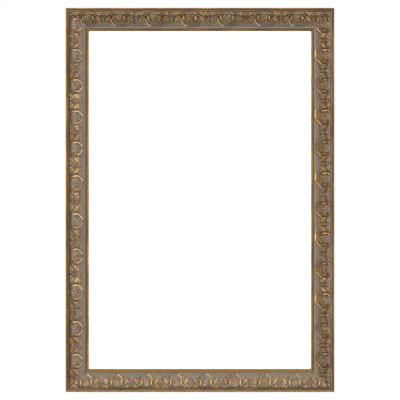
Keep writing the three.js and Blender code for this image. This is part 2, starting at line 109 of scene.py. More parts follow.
class Shader:
    """A material under construction."""

    def __init__(self, name: str) -> None:
        """Start an empty material.

        Args:
            name: The material's name.
        """
        self.material = bpy.data.materials.new(name)
        self.material.use_nodes = True
        self.tree = self.material.node_tree
        self.tree.nodes.clear()
        self.out = self.node("ShaderNodeOutputMaterial")
        self.place = self.node("ShaderNodeTexCoord").outputs["Object"]

    def node(self, kind: str, sockets: dict[Any, Any] | None = None, **settings: Any) -> bpy.types.Node:
        """Add a node, set it up and feed its sockets.

        Args:
            kind: Blender's name of the node type.
            sockets: Input name or index to a number, colour, socket or Value.
            settings: Properties of the node, set first.

        Returns:
            The new node.
        """
        node = self.tree.nodes.new(kind)
        for key, setting in settings.items():
            setattr(node, key, setting)
        for key, given in (sockets or {}).items():
            source = given.socket if isinstance(given, Value) else given
            if isinstance(source, Socket):
                self.tree.links.new(source, node.inputs[key])
            else:
                node.inputs[key].default_value = source
        return node

    def value(self, kind: str, sockets: dict[Any, Any], output: Any = 0, **settings: Any) -> Value:
        """Add a node and wrap one of its outputs as a number."""
        return Value(self, self.node(kind, sockets, **settings).outputs[output])

    def noise(self, size: float, detail: float, stretch: Sequence[float] = (1.0, 1.0, 1.0)) -> Value:
        """Cloudy noise on the object's coordinates.

        Args:
            size: Size of its patches in millimetres.
            detail: Octaves of finer noise.
            stretch: How many times longer the patches are along X, Y and Z.

        Returns:
            Noise between 0 and 1, about 0.5.
        """
        scale = tuple(1.0 / (size * MM * part) for part in stretch)
        mapping = self.node("ShaderNodeMapping", {"Vector": self.place, "Scale": scale})
        sockets = {"Vector": mapping.outputs[0], "Scale": 1.0, "Detail": detail, "Roughness": OCTAVE_SHARE}
        return self.value("ShaderNodeTexNoise", sockets)

    def attribute(self, name: str) -> Value:
        """A number kept on the piece's points."""
        return self.value("ShaderNodeAttribute", {}, "Fac", attribute_name=name)

    def mix(self, share: Any, first: Any, second: Any, blend: str = "MIX") -> Socket:
        """Blend two colours, the share being how much of the second one."""
        settings = {"data_type": "RGBA", "blend_type": blend, "clamp_factor": True}
        return self.node("ShaderNodeMix", {0: share, 6: first, 7: second}, **settings).outputs[2]

    def bump(self, height: Value, depth: float) -> Socket:
        """A normal made uneven by a height of 0 to 1 over a depth in millimetres."""
        sockets = {"Height": height, "Distance": depth * MM, "Strength": 1.0}
        return self.node("ShaderNodeBump", sockets).outputs[0]

    def close(self, node: bpy.types.Node) -> Material:
        """Feed a shader node to the output and hand over the finished material."""
        self.tree.links.new(node.outputs[0], self.out.inputs["Surface"])
        return self.material

    def surface(self, sockets: dict[str, Any]) -> Material:
        """Close the material with a Principled shader."""
        return self.close(self.node("ShaderNodeBsdfPrincipled", sockets))


class Run(Enum):
    """Which way the length of a piece runs, as a stretch of its wear along X, Y and Z."""

    LEVEL = (14.0, 1.0, 1.0)
    UPRIGHT = (1.0, 1.0, 14.0)

    @property
    def fibre(self) -> tuple[float, ...]:
        """The stretch of the wood's fibres, which run on four times as far as the wear."""
        return tuple(part * 4.0 if part > 1.0 else 1.0 for part in self.value)


@dataclass(frozen=True)
class MouldingFinish:
    """Gilt edges over a brown ground, a dark channel and a grey cove on bare-backed wood."""

    name: str
    run: Run
    channel: Colour
    streak: Colour
    wash: Colour
    gold: Colour = srgb(100, 68, 14)
    bright_gold: Colour = srgb(154, 112, 38)
    ground: Colour = srgb(100, 74, 38)
    dark_ground: Colour = srgb(74, 50, 22)
    dark_patch: Colour = srgb(70, 58, 48)
    timber: Colour = srgb(201, 170, 127)
    timber_dark: Colour = srgb(180, 144, 100)
    timber_pore: Colour = srgb(146, 110, 72)

    def material(self) -> Material:
        """Build it: attributes gilt, wash, bare and channel say where each coat lies along the profile.

        Returns:
            The material.
        """
        shader = Shader(self.name)
        gilt, bare = shader.attribute("gilt"), shader.attribute("bare")
        cloud, line = (shader.noise(size, 3.0, self.run.value) for size in (5.0, 2.6))
        speck = shader.noise(2.6, 2.0)
        worn = (gilt * (1.8 * cloud + 0.1)).step(0.15, 0.8)
        gold = shader.mix((0.6 * cloud + 0.4 * speck).step(0.42, 0.6), self.gold, self.bright_gold)
        coat = shader.mix(worn, shader.mix(speck.step(0.35, 0.65), self.ground, self.dark_ground), gold)
        groove = shader.mix((0.7 * line + 0.3 * speck).step(0.42, 0.58), self.channel, self.streak)
        groove = shader.mix(shader.noise(8.0, 2.0, self.run.value).step(0.5, 0.66) * 0.6, groove, self.dark_patch)
        coat = shader.mix(shader.attribute("channel"), coat, groove)
        coat = shader.mix(shader.attribute("wash") * (0.6 + 0.6 * line), coat, self.wash)
        ring, grain = shader.noise(5.5, 2.0, self.run.fibre), shader.noise(1.1, 3.0, self.run.fibre)
        timber = shader.mix(ring.step(0.35, 0.65) * 0.6, self.timber, self.timber_dark)
        timber = shader.mix(grain.step(0.46, 0.66) * 0.55, timber, self.timber_pore)
        sockets = {
            "Base Color": shader.mix(bare, coat, timber),
            "Roughness": 0.42 + 0.3 * bare + 0.18 * speck,
            "Normal": shader.bump(speck + grain * bare, 0.12),
            "Metallic": worn * (1.0 - bare) * 0.55,
            "Specular IOR Level": 0.2,
        }
        return shader.surface(sockets)


@dataclass(frozen=True)
class OrnamentFinish:
    """Pewter-grey wash over gilt relief, rubbed through to gold and cream on the crests, where a highlight is
    painted too, with painted shade in the recesses.

    How far brown patina darkens the ground between the forms is set per side, stronger on the top and right
    rails as painted shade. The wash turns olive where it is thin and violet where it is thick. Ridge end,
    cove start and lip start are places across the rail, from the frame's outer edge, where one colour gives
    way to the next.
    """

    name: str
    run: Run
    age: float
    wash: Colour
    brown: Colour
    ridge: Colour
    gold: Colour
    cream_and_highlight: Colour
    # Colour of the painted shade in the recesses.
    hollow: Colour
    cove: Colour
    cove_lip: Colour
    thin: Colour = (1.1, 1.03, 0.8, 1.0)
    thick: Colour = (0.91, 0.97, 1.2, 1.0)
    ridge_end: Pair = (11.5, 15.5)
    cove_start: Pair = (32.0, 38.0)
    lip_start: Pair = (40.6, 43.0)

    def material(self) -> Material:
        """Build it: attributes gilt, bright, hollow, stain and across come from the relief; bright is cream
        rub and a painted highlight on the crests, and hollow is painted shade in the recesses.

        Returns:
            The material.
        """
        shader = Shader(self.name)
        across = shader.attribute("across")
        patch, mottle, speck = shader.noise(10.0, 2.0), shader.noise(4.8, 1.0), shader.noise(2.5, 0.0)
        grain = 0.2 * patch + 0.35 * mottle + 0.45 * speck
        streak = shader.noise(3.2, 2.0, self.run.value)
        patina = grain + self.age * shader.attribute("stain")
        ground = shader.mix(patina.step(0.48, 0.58), self.wash, self.brown)
        smooth = shader.mix((0.6 * streak + 0.4 * grain).step(0.42, 0.62) * 0.45, self.cove, self.brown)
        smooth = shader.mix(across.step(*self.lip_start), smooth, self.cove_lip)
        ground = shader.mix(across.step(*self.cove_start), ground, smooth)
        # The ridge colour is set per side as painted light and shade: darkest on the left rail, whose ridge
        # turns from the light.
        crest = (1.0 - across.step(*self.ridge_end)) * (0.4 + 0.9 * mottle)
        ground = shader.mix(crest, ground, self.ridge)
        tint = shader.mix(shader.noise(6.5, 1.0).step(0.4, 0.6), self.thin, self.thick)
        ground = shader.mix(1.0, ground, tint, "MULTIPLY")
        # Cream on the crests is rubbed gilding and a painted highlight in one.
        coats = (shader.attribute(name) for name in ("gilt", "bright"))
        rubbed, lit = ((coat * (3.6 * grain - 0.8)).step(0.15, 0.8) for coat in coats)
        colour = shader.mix(lit, shader.mix(rubbed, ground, self.gold), self.cream_and_highlight)
        sockets = {
            # The hollow mix is painted shade in the recesses, broken up by specks.
            "Base Color": shader.mix(shader.attribute("hollow") * (0.5 + 0.8 * speck), colour, self.hollow),
            "Roughness": 0.56 + 0.16 * speck - 0.12 * rubbed,
            "Normal": shader.bump(speck + mottle, 0.8),
            "Metallic": rubbed * 0.35,
            "Specular IOR Level": 0.25,
        }
        return shader.surface(sockets)


# The four washes are lit and shaded copies of one finish: the bottom rail, whose slope faces the light from
# above, is painted lightest and the top one darkest, and the hollows are painted darker on the top and right
# rails.
BOTTOM_WASH_AS_LIT = OrnamentFinish(
    "ornament_bottom", Run.LEVEL, age=0.03, wash=srgb(166, 151, 136), brown=srgb(128, 102, 70),
    ridge=srgb(128, 104, 70), gold=srgb(176, 130, 64), cream_and_highlight=srgb(240, 219, 172), hollow=srgb(80, 54, 24),
    cove=srgb(142, 127, 112), cove_lip=srgb(120, 110, 102),
)
LEFT_WASH_AS_LIT = OrnamentFinish(
    "ornament_left", Run.UPRIGHT, age=0.03, wash=srgb(151, 136, 122), brown=srgb(114, 89, 58),
    ridge=srgb(92, 74, 46), gold=srgb(170, 122, 56), cream_and_highlight=srgb(240, 218, 170), hollow=srgb(74, 48, 20),
    cove=srgb(138, 122, 108), cove_lip=srgb(124, 110, 99),
)
RIGHT_WASH_AS_LIT = OrnamentFinish(
    "ornament_right", Run.UPRIGHT, age=0.12, wash=srgb(149, 134, 118), brown=srgb(108, 82, 48),
    ridge=srgb(152, 126, 92), gold=srgb(158, 110, 46), cream_and_highlight=srgb(230, 203, 150), hollow=srgb(58, 38, 14),
    cove=srgb(141, 126, 111), cove_lip=srgb(158, 142, 126),
)
TOP_WASH_AS_LIT = OrnamentFinish(
    "ornament_top", Run.LEVEL, age=0.1, wash=srgb(140, 125, 110), brown=srgb(94, 71, 41),
    ridge=srgb(140, 118, 84), gold=srgb(154, 108, 44), cream_and_highlight=srgb(220, 194, 144), hollow=srgb(52, 34, 14),
    cove=srgb(124, 109, 95), cove_lip=srgb(143, 135, 129),
)


@dataclass(frozen=True)
class GlassFinish:
    """Clear picture glass: see-through, with a mirror-like skin that grows towards a grazing view."""

    roughness: float = 0.15
    facing: float = 0.015
    grazing: float = 0.8

    def material(self) -> Material:
        """Build it as a transparent body under gloss, by the fifth power of how far it turns from view.

        Returns:
            The material.
        """
        shader = Shader("picture_glass")
        clear = shader.node("ShaderNodeBsdfTransparent", {"Color": WHITE})
        gloss = shader.node("ShaderNodeBsdfGlossy", {"Color": WHITE, "Roughness": self.roughness})
        turned = shader.value("ShaderNodeLayerWeight", {"Blend": 0.5}, "Facing")
        share = (self.facing + self.grazing * turned**5) * (0.9 + 0.2 * shader.noise(60.0, 2.0))
        sockets = {0: share, 1: clear.outputs[0], 2: gloss.outputs[0]}
        return shader.close(shader.node("ShaderNodeMixShader", sockets))


@dataclass(frozen=True)
class BoardFinish:
    """A sheet material with cloudy colour and a fine tooth."""

    name: str
    colour: Colour
    shade: Colour
    patch: float
    tooth: float
    roughness: float

    def material(self) -> Material:
        """Build it from two noises, one for the colour's clouds and one for the tooth.

        Returns:
            The material.
        """
        shader = Shader(self.name)
        cloud, tooth = shader.noise(self.patch, 5.0), shader.noise(0.9, 2.0)
        sockets = {
            "Base Color": shader.mix(cloud.step(0.3, 0.7), self.colour, self.shade),
            "Roughness": self.roughness - 0.08 * tooth,
            "Normal": shader.bump(tooth, self.tooth),
        }
        return shader.surface(sockets)


@dataclass(frozen=True)
class MetalFinish:
    """Plated or bare steel with cloudy tarnish and fine rolling marks."""

    name: str
    colour: Colour
    tarnish: Colour
    roughness: float

    def material(self) -> Material:
        """Build it from a tarnish cloud and streaks along Z.

        Returns:
            The material.
        """
        shader = Shader(self.name)
        cloud, streak = shader.noise(5.0, 4.0), shader.noise(0.5, 2.0, (1.0, 1.0, 12.0))
        sockets = {
            "Base Color": shader.mix(cloud.step(0.45, 0.75) * 0.7, self.colour, self.tarnish),
            "Roughness": self.roughness + 0.2 * streak,
            "Normal": shader.bump(streak, 0.02),
            "Metallic": 1.0,
        }
        return shader.surface(sockets)


@dataclass
class Mesh:
    """Points, faces and point attributes of one piece."""

    points: Array
    quads: Array
    caps: Sequence[Array] = ()
    marks: dict[str, Array] | None = None

    def outward(self) -> list[list[int]]:
        """List the faces so that they point out of the closed shape.

        The sign of the volume, summed over tetrahedra from the origin to each face's triangles, says which
        way round they are.

        Returns:
            Every face as a list of point numbers.
        """
        a, b, c, d = (self.points[self.quads[:, i]] for i in range(4))
        volume = np.einsum("ij,ij->", a, np.cross(b, c)) + np.einsum("ij,ij->", a, np.cross(c, d))
        for cap in self.caps:
            ring = self.points[cap]
            volume += np.einsum("ij,j->", np.cross(ring[1:-1], ring[2:]), ring[0])
        way = 1 if volume > 0 else -1
        return self.quads[:, ::way].tolist() + [cap[::way].tolist() for cap in self.caps]


def ring_quads(rows: int, columns: int) -> Array:
    """Join rows of points, each row closed to a ring, by quads.

    Args:
        rows: Number of rings.
        columns: Points in each ring.

    Returns:
        Point numbers, four to a quad.
    """
    row = np.arange(rows - 1)[:, None] * columns
    here = np.arange(columns)[None, :]
    there = (here + 1) % columns
    corners = (row + here, row + there, row + columns + there, row + columns + here)
    return np.stack(corners, axis=-1).reshape(-1, 4)


def tube(points: Array, marks: dict[str, Array] | None = None) -> Mesh:
    """Close a stack of rings into a solid with a flat cap at each end.

    Args:
        points: Rings of points, shaped rings x points x 3.
        marks: Attributes, one number to a point.

    Returns:
        The closed mesh.
    """
    rows, columns = points.shape[:2]
    first = np.arange(columns)[::-1]
    last = np.arange(columns) + (rows - 1) * columns
    flat = {name: values.reshape(-1) for name, values in (marks or {}).items()}
    return Mesh(points.reshape(-1, 3), ring_quads(rows, columns), (first, last), flat)


def circle(count: int) -> Array:
    """Angles of points spread evenly round a turn."""
    return np.linspace(0, 2 * np.pi, count, endpoint=False)


def lathe(radius: Array, y: Array, angle: Array, middle: Array) -> Mesh:
    """Turn an outline about Y, with x and z the radius times the angle's cosine and sine."""
    rings = np.broadcast_arrays(radius * np.cos(angle), y, radius * np.sin(angle))
    return tube(np.stack(rings, axis=-1) * MM + middle)


def sweep(path: Array, off: Array, y: Array, middle: Array | float = 0.0) -> Mesh:
    """Carry a section along a path in x and z, each of its points kept off to the path's side.

    Args:
        path: Points of the path.
        off: How far each point of the section lies to the side.
        y: Its place along Y.
        middle: Where the path's origin lies, in metres.

    Returns:
        The closed mesh.
    """
    run = np.gradient(path, axis=0)
    run /= np.linalg.norm(run, axis=1, keepdims=True)
    rings = np.broadcast_arrays(path[:, :1] - run[:, 1:] * off, y, path[:, 1:] + run[:, :1] * off)
    return tube(np.stack(rings, axis=-1) * MM + middle)


def link(name: str, data: bpy.types.ID) -> bpy.types.Object:
    """Put a new object with its mesh, camera or lamp into the scene.

    Args:
        name: Its name.
        data: What it shows.

    Returns:
        The object.
    """
    thing = bpy.data.objects.new(name, data)
    bpy.context.scene.collection.objects.link(thing)
    return thing


def add_piece(
    name: str, mesh: Mesh, finish: Material, nodes: Sequence[str], crease: float,
    body: str = "frame",
) -> None:
    """Put a closed mesh into the scene in place of CAD nodes.

    Args:
        name: The piece's name.
        mesh: Its mesh, in metres.
        finish: Its material.
        nodes: The CAD nodes that it stands for.
        crease: Edges sharper than this many degrees stay sharp.
        body: The CAD body that it rides on.
    """
    data = bpy.data.meshes.new(name)
    data.from_pydata(mesh.points.tolist(), [], mesh.outward())
    data.polygons.foreach_set("use_smooth", np.ones(len(data.polygons), dtype=bool))
    data.set_sharp_from_angle(angle=math.radians(crease))
    for key, values in (mesh.marks or {}).items():
        layer = data.attributes.new(key, "FLOAT", "POINT")
        layer.data.foreach_set("value", values.astype(np.float32))
    data.materials.append(finish)
    data.update()
    piece = link(name, data)
    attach(piece, body)
    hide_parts(*nodes)
    LOG.info("%s: %d points on %s", name, len(mesh.points), body)


def blend_curve(start: Sequence[float], pull: Sequence[float], end: Sequence[float], count: int) -> Array:
    """Sample a quadratic curve: start, end and one control point weighted by the square of the share.

    Args:
        start: First point.
        pull: Control point.
        end: Last point, left out of the samples.
        count: Number of samples.

    Returns:
        The sampled points.
    """
    share = np.linspace(0.0, 1.0, count, endpoint=False)[:, None]
    a, b, c = (np.array(point, dtype=float) for point in (start, pull, end))
    return (1 - share) ** 2 * a + 2 * share * (1 - share) * b + share**2 * c


class Side(Enum):
    """A side of the frame, as the cosine and sine of its rail's turn about Y from the bottom."""

    BOTTOM = (1, 0)
    LEFT = (0, 1)
    TOP = (-1, 0)
    RIGHT = (0, -1)

    @property
    def upright(self) -> bool:
        """True for a side rail."""
        return self in (Side.LEFT, Side.RIGHT)

    @property
    def label(self) -> str:
        """Its name in the CAD nodes."""
        return self.name.lower()


@dataclass(frozen=True)
class Sizes:
    """Main sizes of the frame, as in the solids, with the mitres drawn close."""

    sight_width: float = 489.0
    sight_height: float = 743.0
    face: float = 50.8
    pad: float = 6.0
    mitre_gap: float = 0.03
    fit_gap: float = 0.3

    def length(self, side: Side) -> float:
        """Outer length of a rail."""
        return (self.sight_height if side.upright else self.sight_width) + 2 * self.face

    def half(self, side: Side, u: Array) -> Array:
        """Half the length of a rail between its mitres at a distance from its outer edge."""
        return self.length(side) / 2 - self.mitre_gap / math.sqrt(2) - u

    def place(self, side: Side, s: Array, u: Array, v: Array) -> Array:
        """Carry rail coordinates into the part's frame.

        The bottom rail lies along X with u up and v forward, and the others are it, turned about Y.

        Args:
            side: The rail's side.
            s: Along the rail.
            u: From its outer edge.
            v: From its rear face.

        Returns:
            Points in metres.
        """
        cos, sin = side.value
        span = self.length(Side.BOTTOM if side.upright else Side.LEFT)
        s, u, v = np.broadcast_arrays(s, u, v)
        up = u - span / 2
        return np.stack((cos * s + sin * up, -self.pad - v, cos * up - sin * s), axis=-1) * MM


@dataclass(frozen=True)
class Profile:
    """The moulding's section, with the coat that each stretch of it carries."""

    rebate_wall: float = 39.8
    rebate_depth: float = 11.0
    lip_top: float = 16.4
    lip_ease: float = 0.3
    lip_bevel: float = 0.3
    lip_pull: Pair = (0.7, 0.1)
    lip_samples: int = 9
    lip_rubbed: int = 6
    sight_top: float = 18.0
    sight_start: float = 44.6
    sight_foot: float = 16.6
    crown_share: float = 0.4
    cove: float = 15.6
    bed_end: float = 40.2
    bed_start: float = 13.4
    bed_depth: float = 1.8
    bed_lean: float = 0.7
    ridge: float = 27.9
    shoulder_start: float = 9.4
    shoulder_foot: float = 23.7
    channel: float = 19.4
    bead_width: float = 4.2
    bead_top: float = 21.2
    bead_round: float = 2.4
    dull_gilt: float = 0.28

    def cove_curve(self, count: int) -> Array:
        """Sample the cove from the sight bead's foot out to the slope's end."""
        foot, end = (self.sight_start, self.sight_foot), (self.bed_end, self.cove)
        return blend_curve(foot, ((end[0] + foot[0]) / 2, self.cove), end, count)

    def shoulder_curve(self, count: int) -> Array:
        """Sample the ridge's rounded outer side from its top down to its foot."""
        corner, foot = (self.shoulder_start, self.ridge), (self.shoulder_start, self.shoulder_foot)
        return blend_curve((self.bed_start, self.ridge), corner, foot, count)

    def stretches(self, face: float, bead: Pair, sight: Pair) -> list[tuple[Array, Halves]]:
        """Draw the section anticlockwise, stretch by stretch, with gilt, wash, bare and channel of each.

        Args:
            face: Width of the moulding's face.
            bead: Gilding left on the inner and outer half of the edge bead.
            sight: Gilding left on the lip and crown of the sight edge.

        Returns:
            Points and coats of each stretch.
        """
        gold, dull, rubbed, worn = ((gilt, 0, 0, 0) for gilt in (bead[1], self.dull_gilt, *sight))
        dark, brown, grey, bare = (0, 0, 0, 1), (bead[0], 0, 0, 0), (0, 1, 0, 0), (0, 0, 1, 0)
        wall, deep = self.rebate_wall, self.rebate_depth
        lip = face - self.lip_ease
        rear = [(0, 0), (wall, 0), (wall, deep), (lip - self.lip_bevel, deep)]
        crown = (self.sight_start + self.crown_share * (face - self.sight_start), self.sight_top)
        foot = (self.sight_start, self.sight_foot)
        pull = (lip - self.lip_pull[0], self.sight_top - self.lip_pull[1])
        edge_curve = blend_curve((lip, self.lip_top), pull, crown, self.lip_samples)
        bed = [
            (self.bed_end, self.cove),
            (self.bed_end - self.bed_lean, self.cove - self.bed_depth),
            (self.bed_start - self.bed_lean, self.ridge - self.bed_depth),
        ]
        hollow, edge = (self.shoulder_start, self.shoulder_foot), (self.bead_width, self.channel)
        top, side = (self.bead_width / 2, self.bead_top), (0, self.bead_top - self.bead_round)
        return [
            (np.array(rear), bare),
            (np.array([(lip, deep + self.lip_bevel)]), dull),
            # The lip takes the sight's first gilding, kept low on the bottom rail so that its pale ground
            # shows as a painted highlight.
            (edge_curve[: self.lip_rubbed], rubbed),
            (edge_curve[self.lip_rubbed :], worn),
            (blend_curve(crown, (foot[0], crown[1]), foot, 7), dull),
            (self.cove_curve(8), grey),
            (np.array(bed), grey),
            (self.shoulder_curve(9), grey),
            (blend_curve(hollow, (hollow[0], edge[1]), edge, 10), dark),
            (blend_curve(edge, (edge[0], top[1]), top, 7), brown),
            (blend_curve(top, (0, top[1]), side, 8), gold),
            (np.array([side]), dull),
        ]


@dataclass(frozen=True)
class Rail:
    """One mitred length of moulding."""

    side: Side
    style: "SideStyle"
    sizes: Sizes
    profile: Profile
    steps: int = 40
    crease: float = 35.0

    def mesh(self) -> Mesh:
        """Carry the profile from mitre to mitre: s is the share of half the length left at each u.

        Returns:
            The closed mesh.
        """
        stretches = self.profile.stretches(self.sizes.face, self.style.bead, self.style.sight)
        u, v = np.concatenate([points for points, _ in stretches]).T[:, None, :]
        coats = np.concatenate([np.tile(coat, (len(points), 1)) for points, coat in stretches])
        share = np.linspace(-1.0, 1.0, self.steps)[:, None]
        points = self.sizes.place(self.side, share * self.sizes.half(self.side, u), u, v)
        spread = np.broadcast_to(coats, (self.steps, *coats.shape))
        keys = ("gilt", "wash", "bare", "channel")
        return tube(points, {key: spread[..., i] for i, key in enumerate(keys)})

    def build(self) -> None:
        """Make and dress the rail in place of its solid."""
        label, finish = self.side.label, self.style.coat.material()
        add_piece(f"{label}_moulding", self.mesh(), finish, [f"{label}_rail"], self.crease)


@dataclass(frozen=True)
class Motif:
    """One repeat of the egg-and-leaf ornament, drawn at its own pitch, u from the frame's outer edge.

    The cream on a cup's bars, lower lines and outer strokes, rubbed gilding and a painted highlight in one,
    is given for a strong cup before and after its middle, and then for a plain one, often more on the half
    turned to the light. The painted shadow in the corner behind the ridge is given before a strong and a
    plain cup's bar, and ring is the share of painted shade left round the egg. The lower lines start by the
    flank's width outside the bars, and the foot gap is half of what is left dark between them. Hook, double,
    hood, egg, bud, fan, spark, dot and flare are how strongly a form shows, and poor is the share of gold in
    the gap before a plain cup.
    """

    bars: Halves
    lines: Halves
    outer: Halves
    ridge_shadow: Pair
    ring: float
    cup_half: float
    cup_lean: float
    hook: float
    double: float
    egg: float
    bud: float
    fan: float
    spark: float
    dot: float
    poor: float
    cup_point: float
    cup_depth: float
    flank: float
    foot_gap: float
    hood: float = 0.0
    flare: float = 0.0
    pitch: float = 66.0
    cup_top: float = 13.2
    cup_turn: float = 24.5
    grow_depth: float = 0.6

    def cup_line(self, x: Array, y: Array, grow: float) -> Array:
        """Distance to a cup's lower line, a rounded point: |x/a|^n + |y/b|^n = 1, over its slope.

        Args:
            x: Place along the rail, from the cup's middle.
            y: Place across the rail.
            grow: How much larger than the cup the line is.

        Returns:
            The distance, large above the cup's turn.
        """
        a, b, n = self.cup_half + self.flank + grow, self.cup_depth + grow * self.grow_depth, self.cup_point
        tiny = 1e-3
        x, y = np.abs(x) + tiny, np.maximum(y - self.cup_turn, 0) + tiny
        level = (x / a) ** n + (y / b) ** n - 1
        slope = n * np.hypot(x ** (n - 1) / a**n, y ** (n - 1) / b**n)
        return np.abs(level) / slope


BOTTOM_MOTIF = Motif(
    bars=(1.4, 1.5, 1.4, 1.5), lines=(0.45, 1.4, 0.45, 1.4), outer=(0.3, 0.3, 0.3, 0.3), ridge_shadow=(0.4, 0.4),
    ring=0.7, cup_half=11.9, cup_lean=0.0, hook=0.2, double=0.45, egg=1.0, bud=0.45, fan=0.3, spark=0.9,
    dot=0.9, poor=0.8, cup_point=1.6, cup_depth=14.3, flank=1.7, foot_gap=1.0,
)
LEFT_MOTIF = Motif(
    bars=(1.5, 0.45, 0.9, 0.3), lines=(1.7, 0.6, 1.1, 0.9), outer=(0.2, 1.4, 0.2, 0.7), ridge_shadow=(1.0, 0.1),
    ring=0.35, cup_half=13.8, cup_lean=2.2, hook=0.0, double=0.2, egg=0.0, bud=0.15, fan=0.1, spark=0.95,
    dot=1.1, poor=0.3, cup_point=1.25, cup_depth=14.6, flank=0.0, foot_gap=2.6,
)
TOP_MOTIF = Motif(
    bars=(0.6, 0.55, 0.6, 0.55), lines=(0.25, 1.15, 0.25, 1.15), outer=(0.2, 0.3, 0.2, 0.3), ridge_shadow=(0.2, 0.2),
    ring=1.0, cup_half=12.2, cup_lean=1.2, hook=1.5, double=0.55, egg=0.3, bud=0.55, fan=0.15, spark=0.5,
    dot=1.9, poor=0.8, cup_point=2.6, cup_depth=14.3, flank=3.0, foot_gap=3.8, hood=1.0,
)
RIGHT_MOTIF = Motif(
    bars=(1.0, 0.1, 0.5, 0.15), lines=(0.1, 1.0, 0.2, 0.9), outer=(0.3, 0.2, 0.4, 0.2), ridge_shadow=(1.0, 0.2),
    ring=1.0, cup_half=13.6, cup_lean=0.4, hook=0.9, double=0.2, egg=0.3, bud=0.15, fan=0.8, spark=0.65,
    dot=1.7, poor=0.2, cup_point=1.1, cup_depth=16.0, flank=3.4, foot_gap=5.0, hood=0.8, flare=1.0,
    cup_turn=28.0,
)


def dome(x: Array, y: Array, half: tuple[Any, Any], height: float, fullness: float = 0.6) -> Array:
    """A dome: height times a power of what is left of 1 after the squared shares of its half widths."""
    return height * np.clip(1 - (x / half[0]) ** 2 - (y / half[1]) ** 2, 0, 1) ** fullness


def band(distance: Array, half: Any, height: float, fullness: float = 0.7) -> Array:
    """A rounded ridge: height times a power of 1 less the squared share of its half width."""
    return height * np.clip(1 - (distance / half) ** 2, 0, 1) ** fullness


def leaf(x: Array, y: Array, base: Pair, tip: Pair, half: float, height: float) -> Array:
    """A leaf from base to tip, widest before its middle, with a sunk vein and notched sides.

    At a share p of its length its half width is half times sin(pi p^0.8), and its height falls off to the
    edge as a rounded ridge, less a narrow groove along the vein and a ripple of side veins.

    Args:
        x: Place along the rail.
        y: Place across the rail.
        base: Where it starts.
        tip: Where it ends.
        half: Largest half width.
        height: Largest height.

    Returns:
        Its height at each place.
    """
    fullest, thinnest = 0.8, 1e-6
    vein_depth, vein_width = 0.4, 0.16 * half
    ripple_depth, ripple_lean, ripple_pitch = 0.1, 0.8, 2.4
    run = np.array(tip) - np.array(base)
    length = float(np.hypot(*run))
    along = ((x - base[0]) * run[0] + (y - base[1]) * run[1]) / length
    across = np.abs((x - base[0]) * run[1] - (y - base[1]) * run[0]) / length
    share = np.clip(along / length, 0, 1)
    width = half * np.sin(np.pi * share**fullest) + thinnest
    vein = 1 - vein_depth * np.exp(-((across / vein_width) ** 2))
    ripple = 1 + ripple_depth * np.cos(2 * np.pi * (along - ripple_lean * across) / ripple_pitch)
    inside = (along > 0) & (along < length)
    return np.where(inside, band(across, width, height) * vein * ripple, 0.0)


